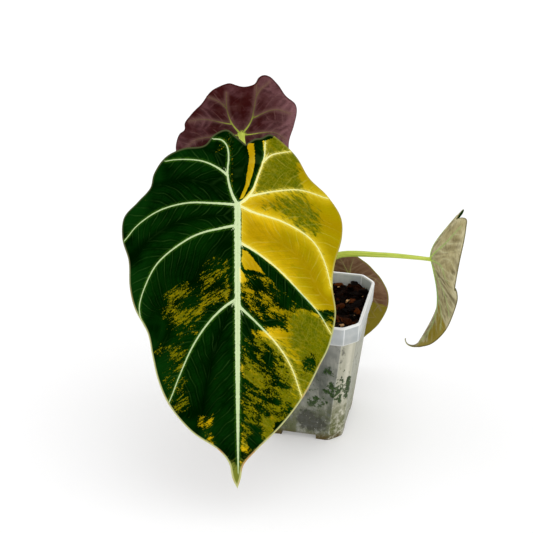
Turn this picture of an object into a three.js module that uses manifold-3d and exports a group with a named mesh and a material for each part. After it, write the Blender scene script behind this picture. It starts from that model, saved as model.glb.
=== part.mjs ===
// Black velvet alocasia in a clear square nursery pot.
// Millimetres, +Z up. The plant faces -Y, and the model stands on Z = 0.

import * as THREE from "three";
import { mergeVertices } from "three/addons/utils/BufferGeometryUtils.js";
import Module from "manifold-3d";

const wasm = await Module();
wasm.setup();

// Driving dimensions

const seatGap = 0.3; // clearance where two pieces touch

const pot = {
  height: 82.6,
  turn: -13.3, // degrees about Z
  wall: 1.0,
  // height, half width across the flats, length of each corner cut
  outside: [
    [0, 24.9, 7.0],
    [0.8, 25.3, 7.1],
    [70.4, 33.1, 7.9],
    [71.2, 34.4, 8.1],
    [81.8, 35.0, 8.2],
    [82.6, 34.7, 8.1],
  ],
  // the same line for the hollow, before the wall is taken off; its step sits higher
  inside: [
    [0, 25.3, 7.1],
    [71.2, 33.2, 7.9],
    [72.2, 33.9, 7.9],
    [90, 34.9, 8.1],
  ],
  slotWidth: 21,
  slotHeight: 3.2,
  drainRadius: 2.6,
  drainOffset: 15,
  cornerRound: 1.6,
};

const soil = {
  top: 75,
  chunkLimit: 80.5,
  chunkSpacing: 8.2,
  chunkJitter: 6,
  chunkSize: [4.2, 6.6],
  chunkShape: [1.15, 0.8, 0.62],
  chunkTilt: 0.6, // radians either way
  chunkRise: 1.6,
  seed: 16,
};

const stem = { radius: 7, foot: 42, top: 81, rings: 7, ringDepth: 0.5, sides: 12 };

const blade = {
  thickness: 0.8,
  collarLength: 3.4,
  collarMiddle: 1.25,
  collarFlare: 1.9,
  ribStep: 11,
  ribDepth: 0.9,
};

const petiole = { steps: 24, sides: 10, straight: 5 };

// Each outline runs from the notch between the lobes to the drip tip. Points are [across, along]
// in the flat blade, with the petiole point at 0, 0 and the tip along the second axis.
// A vein is [its points, its half width at the start]. Negative across is the left of the upper face.
const leaves = {
  front: {
    attach: [-40, -50, 162.3],
    facing: -90,
    droop: 54,
    lean: 0,
    length: 150,
    halfWidth: 62,
    bend: 30,
    bendMore: 0,
    tipCurl: 0,
    lobeLift: -8,
    lobeSoftness: 20,
    foldLeft: [-6, -6],
    foldRight: [-6, -6],
    curlLeft: -25,
    curlRight: -25,
    foldSoftness: 6,
    wave: [2.2, 7, -0.6, 0.6],
    samples: 64,
    rings: 7,
    left: [
      [4, -33.5], [-1, -38], [-6, -42], [-13, -39.5], [-18, -34], [-30, -33.5], [-40, -29.5], [-47, -20.5],
      [-49, -13.5], [-57, -6.5], [-66, 2], [-66.5, 15], [-62, 28], [-61.5, 43], [-58.5, 55], [-50, 69],
      [-47.5, 80], [-44, 94], [-38, 107], [-25, 121.5], [-10, 131], [-4.5, 138], [-2.5, 147], [-0.5, 153],
    ],
    right: [
      [4, -33.5], [9, -37], [12, -37.5], [17, -40], [24, -36], [32, -28.5], [39, -17], [50, -8],
      [58, 3], [58.5, 14], [53.5, 31], [52.3, 42], [54.5, 58], [50.5, 76], [44.5, 87], [38.5, 98],
      [33.5, 105.5], [22.5, 118.5], [10, 130.5], [2.5, 139], [0.9, 147], [-0.5, 153],
    ],
    veins: [
      [[[0, 0], [0, 50], [0, 100], [0, 144]], 2.1],
      [[[0, 0], [-3, -6], [-5.5, -16.5], [-5, -27], [-6, -34]], 1.5],
      [[[-5.5, -16.5], [-11, -21], [-20, -25.5], [-36, -27.5]], 1.0],
      [[[0, 0], [-13, -1.5], [-28, -2.5], [-44, 0.5], [-60, 10]], 1.2],
      [[[0, 9], [-10, 12.5], [-27, 19.5], [-44, 30], [-52, 42.5], [-56, 54]], 1.2],
      [[[0, 48], [-7, 52], [-16, 60.5], [-25, 73], [-32.5, 90], [-36, 101]], 1.2],
      [[[0, 0], [6, -5], [11, -17], [14, -27], [14.5, -35]], 1.5],
      [[[6, -5], [21, -8.5], [34, -10], [48, -7.5]], 1.0],
      [[[0, 0], [8, 3.5], [25, 8.5], [40.5, 17.5], [48, 29.5]], 1.2],
      [[[0, 19], [8, 23.5], [21, 33], [34, 46], [45, 58]], 1.2],
      [[[0, 52], [10, 61.5], [21.5, 74], [29, 86.5], [33, 97]], 1.2],
    ],
    petiole: {
      path: [[-2.9, -3.1], [-9, -8, 106], [-25, -24, 138]],
      arrival: [-0.25, -0.75, 0.65],
      radii: [2.7, 2.2],
    },
  },
  back: {
    attach: [-39.1, 12, 178.9],
    facing: 88,
    droop: 75,
    lean: -3,
    length: 112,
    halfWidth: 42,
    bend: 6,
    bendMore: 0,
    tipCurl: 0,
    lobeLift: 0,
    lobeSoftness: 15,
    foldLeft: [32, 32],
    foldRight: [24, 24],
    curlLeft: 14,
    curlRight: 6,
    foldSoftness: 5,
    wave: [1.6, 7, -0.8, 0.8],
    samples: 46,
    rings: 6,
    left: [
      [0, -32], [-4, -30.5], [-10.5, -30.5], [-13, -33.5], [-16, -35], [-20, -32], [-25, -24], [-30, -14],
      [-37, -6], [-38, -1], [-35, 9], [-30.5, 18], [-31, 32], [-32, 45], [-30, 58], [-25, 71],
      [-17, 84], [-8, 95], [-3, 101.5], [-1.2, 108], [0, 113],
    ],
    right: [
      [0, -32], [4, -33.2], [12.5, -28.5], [17, -24.5], [24, -14.5], [32, -5], [36.5, 1], [37, 5],
      [41.5, 10], [46, 23], [45, 34], [41, 46], [35, 60], [27, 74], [18, 86], [8, 95.5],
      [3, 101.5], [1.2, 108], [0, 113],
    ],
    veins: [
      [[[0, 0], [0, 35], [0, 70], [0, 105]], 1.6],
      [[[0, 0], [4.5, -8], [5.5, -17], [6, -27]], 1.2],
      [[[4.5, -7], [12, -7], [21.5, -6], [33, -1.5]], 0.8],
      [[[0, 0], [10, 2], [19, 5], [29, 10], [40, 22]], 0.9],
      [[[0, 20], [12, 24], [24, 34], [36, 54]], 0.9],
      [[[0, 46], [9, 52], [18, 64], [22, 76]], 0.8],
      [[[0, 0], [-6.5, -10], [-9, -18], [-12, -28]], 1.2],
      [[[-7, -10], [-15.5, -10.5], [-23, -8.5], [-33, -1.5]], 0.8],
      [[[0, 0], [-12, 2], [-20, 6], [-28, 15]], 0.9],
      [[[0, 18], [-10, 22], [-20, 32], [-29, 50]], 0.9],
      [[[0, 44], [-8, 50], [-16, 61], [-21, 73]], 0.8],
    ],
    petiole: {
      path: [[-3, 2.9], [-8, 5, 112], [-22, 2.5, 146], [-35, 1.5, 166]],
      arrival: [-0.1, 0.85, 0.5],
      radii: [2.7, 1.7],
    },
  },
  right: {
    attach: [67.8, -20, 116.1],
    facing: -3,
    droop: 72,
    lean: 8,
    length: 72,
    halfWidth: 32,
    bend: 14,
    bendMore: 60,
    tipCurl: 100,
    lobeLift: 48,
    lobeSoftness: 4,
    foldLeft: [12.5, 14],
    foldRight: [25, 6],
    curlLeft: 4,
    curlRight: 6,
    foldSoftness: 3,
    wave: [2.0, 3, -2.3, -2.3],
    samples: 44,
    rings: 6,
    left: [
      [0, -29.5], [-3, -33], [-8, -35.5], [-12, -33], [-22, -25], [-31, -15], [-34, -8], [-34, 0],
      [-31, 8], [-27, 16], [-19, 33], [-12, 47], [-8, 55], [-3.5, 61.5], [-1.2, 65], [0, 75],
    ],
    right: [
      [0, -29.5], [2.5, -32], [7, -33.5], [12, -31], [19.5, -22], [23, -12], [24, -2], [23, 7],
      [21.5, 16], [18, 31], [13, 45], [8, 55], [3.5, 61.5], [1.2, 65], [0, 75],
    ],
    veins: [
      [[[0, 0], [0, 20], [0, 40], [0, 61]], 0.9],
      [[[0, 0], [-4, -7], [-7, -15.5], [-8.5, -30]], 0.9],
      [[[0, 0], [-8, -4], [-17, -7], [-29, -2]], 0.7],
      [[[0, 1], [-7, 3.5], [-17, 15.5], [-20, 26]], 0.7],
      [[[0, 22], [-5, 26], [-9, 33], [-11, 41]], 0.6],
      [[[0, 0], [3, -7], [5, -16], [6.5, -29]], 0.9],
      [[[0, 0], [9, -4], [18, -6], [27, -3]], 0.7],
      [[[0, 1], [7, 4], [13, 10], [21, 22]], 0.7],
      [[[0, 22], [6, 27], [10, 34], [12, 42]], 0.6],
    ],
    petiole: {
      path: [[3.5, -2.1], [6, -2.5, 100], [15, -4, 110.5], [40, -11, 114.6]],
      arrival: [0.95, -0.3, 0.02],
      radii: [2.4, 1.1],
    },
  },
  low: {
    attach: [27.1, 52, 70],
    facing: 88,
    droop: 75,
    lean: -7,
    length: 63,
    halfWidth: 26,
    bend: 12,
    bendMore: 10,
    tipCurl: 0,
    lobeLift: 0,
    lobeSoftness: 10,
    foldLeft: [5, 5],
    foldRight: [5, 5],
    curlLeft: 5,
    curlRight: 5,
    foldSoftness: 4,
    wave: [1.0, 7, -0.5, 0.5],
    samples: 40,
    rings: 5,
    left: [
      [0, -14], [-2, -16.5], [-5, -15.6], [-8, -12.8], [-15.5, -2], [-20.5, 9], [-23.6, 20], [-22.2, 31],
      [-16, 42], [-11, 46.5], [-4.5, 51.5], [-1.6, 56], [0, 62],
    ],
    right: [
      [0, -14], [2.5, -17], [6, -17], [11, -12], [17, -3], [21, 9], [23, 19], [22, 30],
      [18, 40], [12, 47], [4.5, 52], [1.6, 56], [0, 62],
    ],
    veins: [
      [[[0, 0], [0, 26], [0, 53]], 1.1],
      [[[0, 0], [2, -8], [4, -14]], 0.8],
      [[[0, 0], [-1.8, -8], [-4, -13.5]], 0.8],
      [[[0, 0], [7, 1], [15, 5], [19, 11]], 0.6],
      [[[0, 8], [7, 13], [14, 22], [18, 32]], 0.6],
      [[[0, 24], [5, 30], [9, 40]], 0.6],
      [[[0, 0], [-7, 1], [-15, 5], [-19, 11]], 0.6],
      [[[0, 8], [-7, 13], [-14, 22], [-18, 32]], 0.6],
      [[[0, 24], [-5, 30], [-9, 40]], 0.6],
    ],
    petiole: {
      path: [[2.8, 3.8], [-1, 18, 99], [-1, 34, 102], [4, 43, 92], [10, 46, 78], [18, 46.5, 71.5]],
      arrival: [0.55, 0.83, -0.05],
      radii: [2.3, 1.4],
    },
  },
};

const colours = {
  pot: { color: 0xc9cdc8, roughness: 0.35 },
  soil: { color: 0x2b1a10, roughness: 1 },
  stem_base: { color: 0x7d8a3c, roughness: 0.6 },
  petiole: { color: 0xb4cc5a, roughness: 0.45 },
  leaf_front: { color: 0x1d4a1c, roughness: 0.75 },
  leaf_back: { color: 0x4c2430, roughness: 0.6 },
  leaf_right: { color: 0x8a7d58, roughness: 0.6 },
  leaf_low: { color: 0x6b5634, roughness: 0.6 },
};

// Solids

const weldDistance = 1e-4;

function welded(geometry) {
  geometry.deleteAttribute("normal");
  geometry.deleteAttribute("uv");
  return mergeVertices(geometry, weldDistance);
}

function toSolid(geometry) {
  const closed = welded(geometry);
  const vertProperties = new Float32Array(closed.attributes.position.array);
  const triVerts = new Uint32Array(closed.index.array);
  return new wasm.Manifold(new wasm.Mesh({ numProp: 3, vertProperties, triVerts }));
}

function toGeometry(solid) {
  const mesh = solid.getMesh();
  const geometry = new THREE.BufferGeometry();
  geometry.setAttribute("position", new THREE.BufferAttribute(mesh.vertProperties, 3));
  geometry.setIndex(new THREE.BufferAttribute(mesh.triVerts, 1));
  geometry.computeVertexNormals();
  return geometry;
}

function joined(solids) {
  return solids.reduce((whole, next) => whole.add(next));
}

// A closed skin over rings of points, each ring counterclockwise as seen from the last one.
function loft(rings) {
  const count = rings[0].length;
  const points = rings.flat();
  const foot = points.length;
  const head = foot + 1;
  points.push(middle(rings[0]), middle(rings[rings.length - 1]));
  const faces = [];
  for (let level = 0; level + 1 < rings.length; level++) {
    for (let k = 0; k < count; k++) {
      const a = level * count + k;
      const b = level * count + ((k + 1) % count);
      faces.push(a, b, b + count, a, b + count, a + count);
    }
  }
  const last = (rings.length - 1) * count;
  for (let k = 0; k < count; k++) {
    const next = (k + 1) % count;
    faces.push(foot, next, k);
    faces.push(head, last + k, last + next);
  }
  const geometry = new THREE.BufferGeometry().setFromPoints(points);
  geometry.setIndex(faces);
  return geometry;
}

function middle(ring) {
  const sum = ring.reduce((total, point) => total.add(point), new THREE.Vector3());
  return sum.divideScalar(ring.length);
}

function randomFrom(seed) {
  let state = seed;
  return () => {
    state = (state * 48271) % 2147483647;
    return state / 2147483647;
  };
}

// Pot

// A square ring with cut, slightly rounded corners.
function squareRing(height, half, cut) {
  const ring = [];
  const corners = [];
  for (let side = 0; side < 4; side++) {
    const angle = (side * Math.PI) / 2;
    corners.push(new THREE.Vector2(half, cut - half).rotateAround(new THREE.Vector2(), angle));
    corners.push(new THREE.Vector2(half, half - cut).rotateAround(new THREE.Vector2(), angle));
  }
  corners.forEach((corner, k) => {
    const before = corners[(k + 7) % 8].clone().sub(corner).setLength(pot.cornerRound).add(corner);
    const after = corners[(k + 1) % 8].clone().sub(corner).setLength(pot.cornerRound).add(corner);
    for (const t of [0, 0.5, 1]) {
      const start = before.clone().lerp(corner, t);
      const point = start.lerp(corner.clone().lerp(after, t), t);
      ring.push(new THREE.Vector3(point.x, point.y, height));
    }
  });
  return ring;
}

function levelAt(levels, height) {
  const above = Math.max(1, levels.findIndex((level) => level[0] >= height));
  const [z0, half0, cut0] = levels[above - 1];
  const [z1, half1, cut1] = levels[above];
  const t = THREE.MathUtils.clamp((height - z0) / (z1 - z0), 0, 1);
  return [THREE.MathUtils.lerp(half0, half1, t), THREE.MathUtils.lerp(cut0, cut1, t)];
}

// The room inside the pot between two heights, set in from the pot's outer line.
function potCore(inset, foot, top) {
  const steps = pot.inside.map((level) => level[0]).filter((z) => z > foot && z < top);
  const cornerInset = inset * (2 - Math.SQRT2);
  const rings = [foot, ...steps, top].map((z) => {
    const [half, cut] = levelAt(pot.inside, z);
    return squareRing(z, half - inset, cut - cornerInset);
  });
  return toSolid(loft(rings));
}

function slotCross(width, foot, top) {
  const reach = 2 * pot.outside[3][1];
  const bar = () => new THREE.BoxGeometry(width, reach, top - foot);
  const along = bar().translate(0, 0, (top + foot) / 2);
  const across = bar().rotateZ(Math.PI / 2).translate(0, 0, (top + foot) / 2);
  return toSolid(along).add(toSolid(across));
}

function post(radius, foot, top, x = 0, y = 0) {
  const geometry = new THREE.CylinderGeometry(radius, radius, top - foot, 16);
  geometry.rotateX(Math.PI / 2).translate(x, y, (top + foot) / 2);
  return toSolid(geometry);
}

function potSolid() {
  const floorTop = pot.slotHeight + pot.wall;
  const shell = toSolid(loft(pot.outside.map(([z, half, cut]) => squareRing(z, half, cut))));
  const feetFloor = slotCross(pot.slotWidth + 2 * pot.wall, -1, floorTop);
  const hollow = potCore(pot.wall, pot.wall, pot.height + 1).subtract(feetFloor);
  let body = shell.subtract(hollow).subtract(slotCross(pot.slotWidth, -1, pot.slotHeight));
  body = body.subtract(post(pot.drainRadius, -1, 6));
  for (let side = 0; side < 4; side++) {
    const angle = (side * Math.PI) / 2;
    const x = pot.drainOffset * Math.cos(angle);
    const y = pot.drainOffset * Math.sin(angle);
    body = body.subtract(post(pot.drainRadius, -1, 6, x, y));
  }
  return body;
}

// Soil

function chunk(random, x, y) {
  const [small, large] = soil.chunkSize;
  const size = THREE.MathUtils.lerp(small, large, random());
  const geometry = welded(new THREE.IcosahedronGeometry(size, 0));
  const position = geometry.attributes.position;
  for (let k = 0; k < position.count; k++) {
    const stretch = 0.8 + 0.35 * random();
    position.setXYZ(k, position.getX(k) * stretch, position.getY(k) * stretch, position.getZ(k) * stretch);
  }
  geometry.scale(...soil.chunkShape);
  geometry.rotateX((2 * random() - 1) * soil.chunkTilt);
  geometry.rotateZ(random() * Math.PI * 2);
  geometry.translate(x, y, soil.top - size / 3 + soil.chunkRise * random());
  return toSolid(geometry);
}

function soilSolid() {
  const random = randomFrom(soil.seed);
  const inset = pot.wall + seatGap;
  const floorTop = pot.slotHeight + pot.wall + seatGap;
  const feetFloor = slotCross(pot.slotWidth + 2 * inset, 0, floorTop);
  const fill = potCore(inset, pot.wall + seatGap, soil.top).subtract(feetFloor);
  const room = potCore(inset, soil.top - 20, soil.chunkLimit);
  const [half, cut] = levelAt(pot.inside, soil.top);
  const edge = half - inset;
  const reach = 4 * soil.chunkSpacing;
  const chunks = [];
  for (let column = -reach; column <= reach; column += soil.chunkSpacing) {
    for (let row = -reach; row <= reach; row += soil.chunkSpacing) {
      const x = column + soil.chunkJitter * (random() - 0.5);
      const y = row + soil.chunkJitter * (random() - 0.5);
      const insideWalls = Math.max(Math.abs(x), Math.abs(y)) < edge;
      const insideCorners = Math.abs(x) + Math.abs(y) < 2 * edge - cut;
      if (insideWalls && insideCorners) {
        chunks.push(chunk(random, x, y));
      }
    }
  }
  const rough = joined(chunks).intersect(room);
  const stemHole = post(stem.radius + seatGap, stem.foot - seatGap, soil.chunkLimit + 1);
  return fill.add(rough).subtract(stemHole);
}

// Stem with the rings that old leaves left

function stemGeometry() {
  const profile = [new THREE.Vector2(0, stem.foot), new THREE.Vector2(stem.radius - 1.5, stem.foot)];
  const pitch = (stem.top - stem.foot - 4) / stem.rings;
  for (let k = 0; k < stem.rings; k++) {
    const z = stem.foot + 2 + k * pitch;
    profile.push(new THREE.Vector2(stem.radius, z));
    profile.push(new THREE.Vector2(stem.radius, z + 0.75 * pitch));
    profile.push(new THREE.Vector2(stem.radius - stem.ringDepth, z + 0.9 * pitch));
  }
  profile.push(new THREE.Vector2(stem.radius, stem.top - 2));
  profile.push(new THREE.Vector2(stem.radius - 0.6, stem.top));
  profile.push(new THREE.Vector2(0, stem.top));
  return new THREE.LatheGeometry(profile, stem.sides).rotateX(Math.PI / 2);
}

// Blades

const radians = THREE.MathUtils.degToRad;
const sweepSteps = 24;

// Follows a line whose angle changes along it, and returns how far it gets forward and up.
function sweep(length, angleAt) {
  const step = length / sweepSteps;
  let forward = 0;
  let rise = 0;
  for (let k = 0; k < sweepSteps; k++) {
    const angle = angleAt((k + 0.5) * step);
    forward += Math.cos(angle) * step;
    rise += Math.sin(angle) * step;
  }
  return [forward, rise];
}

function bladeAxes(leaf) {
  const [facing, droop, lean] = [leaf.facing, leaf.droop, leaf.lean].map(radians);
  const out = new THREE.Vector3(Math.cos(facing), Math.sin(facing), 0);
  const up = new THREE.Vector3(0, 0, 1);
  const straight = out.clone().multiplyScalar(Math.cos(droop)).addScaledVector(up, -Math.sin(droop));
  const normal = out.clone().multiplyScalar(Math.sin(droop)).addScaledVector(up, Math.cos(droop));
  const sideways = normal.clone().cross(straight);
  const tipward = straight.multiplyScalar(Math.cos(lean)).addScaledVector(sideways, Math.sin(lean));
  return { tipward, normal, across: normal.clone().cross(tipward) };
}

// How far the midrib has turned down at a distance from the petiole point.
function midribTurn(leaf, along) {
  if (along < 0) {
    return radians(leaf.lobeLift) * (1 - Math.exp(along / leaf.lobeSoftness));
  }
  const u = along / leaf.length;
  const curl = Math.min(2, Math.max(0, (u - 0.86) / 0.14));
  return radians(leaf.bend * u + leaf.bendMore * u * u + leaf.tipCurl * curl);
}

// The middle of the blade's thickness at a point of the flat outline, and the upper face's direction.
function bladePoint(leaf, x, y, lift = 0) {
  const { tipward, normal, across } = bladeAxes(leaf);
  const [forward, drop] = sweep(y, (s) => midribTurn(leaf, s));
  const turn = midribTurn(leaf, y);
  const place = new THREE.Vector3(...leaf.attach);
  place.addScaledVector(tipward, forward).addScaledVector(normal, -drop);
  const up = normal.clone().multiplyScalar(Math.cos(turn)).addScaledVector(tipward, Math.sin(turn));

  const [foldStart, foldTip] = x < 0 ? leaf.foldLeft : leaf.foldRight;
  const curl = x < 0 ? leaf.curlLeft : leaf.curlRight;
  const fold = foldStart + (foldTip - foldStart) * THREE.MathUtils.clamp(y / leaf.length, -0.4, 1);
  const slopeAt = (d) => {
    const folded = fold * (1 - Math.exp(-d / leaf.foldSoftness));
    return radians(folded + (curl * d) / leaf.halfWidth);
  };
  const [reach, rise] = sweep(Math.abs(x), slopeAt);
  const [height, count, phaseLeft, phaseRight] = leaf.wave;
  const ripple = Math.sin(count * Math.atan2(Math.abs(x), y) + (x < 0 ? phaseLeft : phaseRight));
  const wave = height * ripple * (x / leaf.halfWidth) ** 2;
  const side = Math.sign(x);
  place.addScaledVector(across, side * reach).addScaledVector(up, rise + wave);

  const slope = slopeAt(Math.abs(x));
  const face = up.clone().multiplyScalar(Math.cos(slope));
  face.addScaledVector(across, -side * Math.sin(slope));
  place.addScaledVector(face, lift);
  return { place, face };
}

function flatOutline(leaf) {
  const smooth = (points) =>
    new THREE.CatmullRomCurve3(points.map(([x, y]) => new THREE.Vector3(x, y, 0)), false, "centripetal");
  const half = leaf.samples / 2;
  const left = smooth(leaf.left).getSpacedPoints(half);
  const right = smooth(leaf.right).getSpacedPoints(half).reverse();
  return [...left.slice(0, -1), ...right.slice(0, -1)];
}

function bladeSheet(leaf) {
  const outline = flatOutline(leaf);
  const count = outline.length;
  const points = [];
  for (const lift of [blade.thickness / 2, -blade.thickness / 2]) {
    points.push(bladePoint(leaf, 0, 0, lift).place);
    for (let ring = 1; ring <= leaf.rings; ring++) {
      const share = ring / leaf.rings;
      outline.forEach(({ x, y }) => points.push(bladePoint(leaf, x * share, y * share, lift).place));
    }
  }
  const layer = 1 + leaf.rings * count;
  const faces = [];
  const bothFaces = (a, b, c) => faces.push(a, b, c, layer + a, layer + c, layer + b);
  for (let k = 0; k < count; k++) {
    const next = (k + 1) % count;
    bothFaces(0, 1 + k, 1 + next);
    for (let ring = 1; ring < leaf.rings; ring++) {
      const inner = 1 + (ring - 1) * count;
      const outer = inner + count;
      bothFaces(inner + k, outer + k, outer + next);
      bothFaces(inner + k, outer + next, inner + next);
    }
    const rim = 1 + (leaf.rings - 1) * count;
    faces.push(rim + k, layer + rim + k, layer + rim + next, rim + k, layer + rim + next, rim + next);
  }
  const geometry = new THREE.BufferGeometry().setFromPoints(points);
  geometry.setIndex(faces);
  return geometry;
}

// A raised vein under the blade, wide at its start and fine at its end.
function rib(leaf, [points, width]) {
  const path = new THREE.CatmullRomCurve3(points.map(([x, y]) => new THREE.Vector3(x, y, 0)));
  const steps = Math.max(4, Math.round(path.getLength() / blade.ribStep));
  const rings = [];
  for (let k = 0; k <= steps; k++) {
    const u = k / steps;
    const half = width * (1 - 0.75 * u);
    const here = path.getPointAt(u);
    const aside = path.getTangentAt(u).cross(new THREE.Vector3(0, 0, 1)).multiplyScalar(half);
    const depth = blade.thickness / 2 + blade.ribDepth * half;
    rings.push([
      bladePoint(leaf, here.x + aside.x, here.y + aside.y, 0).place,
      bladePoint(leaf, here.x - aside.x, here.y - aside.y, 0).place,
      bladePoint(leaf, here.x, here.y, -depth).place,
    ]);
  }
  return toSolid(loft(rings));
}

// A ring of points round an axis. The nearest direction to aside is where it starts.
function ringAround(centre, axis, radius, aside) {
  const first = aside.clone().addScaledVector(axis, -aside.dot(axis)).normalize();
  const second = axis.clone().cross(first);
  const ring = [];
  for (let side = 0; side < petiole.sides; side++) {
    const angle = (side / petiole.sides) * Math.PI * 2;
    const point = centre.clone().addScaledVector(first, radius * Math.cos(angle));
    ring.push(point.addScaledVector(second, radius * Math.sin(angle)));
  }
  return ring;
}

// The direction in which the petiole reaches the blade.
function arrival(leaf) {
  return new THREE.Vector3(...leaf.petiole.arrival).normalize();
}

// The flare under the blade where the petiole joins it.
function collar(leaf) {
  const { place, face } = bladePoint(leaf, 0, 0);
  const direction = arrival(leaf);
  const aside = bladeAxes(leaf).across;
  const radius = leaf.petiole.radii[1];
  const along = (distance) => place.clone().addScaledVector(direction, -distance);
  return toSolid(loft([
    ringAround(along(blade.collarLength), direction, radius, aside),
    ringAround(along(blade.collarLength / 2), direction, radius * blade.collarMiddle, aside),
    ringAround(place, face, radius * blade.collarFlare, aside),
  ]));
}

function bladeSolid(leaf) {
  return joined([toSolid(bladeSheet(leaf)), collar(leaf), ...leaf.veins.map((vein) => rib(leaf, vein))]);
}

// Petioles

function petioleGeometry(leaf) {
  const { path, radii } = leaf.petiole;
  const [start, ...between] = path;
  const foot = stem.top + seatGap;
  const direction = arrival(leaf);
  const attach = new THREE.Vector3(...leaf.attach);
  const along = (distance) => attach.clone().addScaledVector(direction, -distance);
  const end = blade.collarLength + seatGap;
  const points = [
    new THREE.Vector3(start[0], start[1], foot),
    new THREE.Vector3(start[0], start[1], foot + petiole.straight),
    ...between.map((point) => new THREE.Vector3(...point)),
    along(end + petiole.straight),
    along(end),
  ];
  const curve = new THREE.CatmullRomCurve3(points, false, "centripetal");
  const rings = [];
  let aside = new THREE.Vector3(1, 0, 0);
  for (let k = 0; k <= petiole.steps; k++) {
    const u = k / petiole.steps;
    const radius = THREE.MathUtils.lerp(radii[0], radii[1], u);
    const centre = curve.getPointAt(u);
    const ring = ringAround(centre, tangentAt(curve, direction, u), radius, aside);
    aside = ring[0].clone().sub(centre);
    rings.push(ring);
  }
  return loft(rings);
}

// The petiole leaves the stem upright and meets its collar squarely.
function tangentAt(curve, direction, u) {
  if (u === 0) {
    return new THREE.Vector3(0, 0, 1);
  }
  return u === 1 ? direction : curve.getTangentAt(u);
}

// Assembly

function piece(name, geometry, look) {
  const material = new THREE.MeshStandardMaterial({ metalness: 0, ...look });
  const mesh = new THREE.Mesh(geometry, material);
  mesh.name = name;
  return mesh;
}

const potted = new THREE.Group();
potted.rotation.z = radians(pot.turn);
potted.add(piece("pot", toGeometry(potSolid()), colours.pot));
potted.add(piece("soil", toGeometry(soilSolid()), colours.soil));

const plant = new THREE.Group();
plant.add(potted);
plant.add(piece("stem_base", stemGeometry(), colours.stem_base));
for (const [name, leaf] of Object.entries(leaves)) {
  plant.add(piece(`petiole_${name}`, petioleGeometry(leaf), colours.petiole));
  plant.add(piece(`leaf_${name}`, toGeometry(bladeSolid(leaf)), colours[`leaf_${name}`]));
}

// The origin is the middle of the whole plant's footprint, on the surface that the pot stands on.
plant.updateMatrixWorld(true);
const extent = new THREE.Box3().setFromObject(plant, true);
plant.position.set(-(extent.min.x + extent.max.x) / 2, -(extent.min.y + extent.max.y) / 2, -extent.min.z);

export default plant;
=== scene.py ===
import math
import random

import bmesh
import bpy
import numpy as np
from mathutils import Matrix, Vector, noise
from mathutils.bvhtree import BVHTree


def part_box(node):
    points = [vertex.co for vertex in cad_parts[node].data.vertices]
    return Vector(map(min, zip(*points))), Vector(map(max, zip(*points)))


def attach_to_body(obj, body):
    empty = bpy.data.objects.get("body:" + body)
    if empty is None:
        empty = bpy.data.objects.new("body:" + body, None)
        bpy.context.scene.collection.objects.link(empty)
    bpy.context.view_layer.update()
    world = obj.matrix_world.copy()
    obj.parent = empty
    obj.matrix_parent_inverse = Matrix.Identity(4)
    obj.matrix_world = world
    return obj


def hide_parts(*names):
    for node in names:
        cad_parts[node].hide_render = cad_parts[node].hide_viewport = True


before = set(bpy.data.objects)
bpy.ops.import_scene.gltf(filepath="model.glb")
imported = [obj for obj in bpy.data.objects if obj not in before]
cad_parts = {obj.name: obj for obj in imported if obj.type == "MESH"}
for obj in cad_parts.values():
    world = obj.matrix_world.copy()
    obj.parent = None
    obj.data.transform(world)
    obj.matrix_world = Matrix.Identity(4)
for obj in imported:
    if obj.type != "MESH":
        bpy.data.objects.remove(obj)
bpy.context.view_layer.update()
scene = bpy.context.scene
mm = 0.001

potLow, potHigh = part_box("pot")
plantCentre = (potLow + potHigh) / 2
plantFoot = np.array([plantCentre.x, plantCentre.y, potLow.z])
potTurn = -13.3  # degrees, of the pot's square


# shader helpers

def tone(red, green, blue):  # a colour as the screen shows it, 0 to 255
    def linear(value):
        value /= 255
        return value / 12.92 if value <= 0.04045 else ((value + 0.055) / 1.055) ** 2.4
    return linear(red), linear(green), linear(blue), 1.0


class Signal:  # a socket that takes part in sums
    def __init__(self, finish, socket):
        self.finish = finish
        self.socket = socket

    def maths(self, operation, first, second=0.0):
        return self.finish.node("Math", {"operation": operation}, {0: first, 1: second})

    def __add__(self, other):
        return self.maths("ADD", self, other)

    def __radd__(self, other):
        return self.maths("ADD", other, self)

    def __sub__(self, other):
        return self.maths("SUBTRACT", self, other)

    def __rsub__(self, other):
        return self.maths("SUBTRACT", other, self)

    def __mul__(self, other):
        return self.maths("MULTIPLY", self, other)

    def __rmul__(self, other):
        return self.maths("MULTIPLY", other, self)

    def __abs__(self):
        return self.maths("ABSOLUTE", self)

    def fraction(self):
        return self.maths("FRACT", self)

    def rise(self, start, end):  # 0 at start, 1 at end, eased between
        return self.finish.node(
            "MapRange",
            {"interpolation_type": "SMOOTHSTEP"},
            {"Value": self, "From Min": start, "From Max": end},
        )


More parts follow.
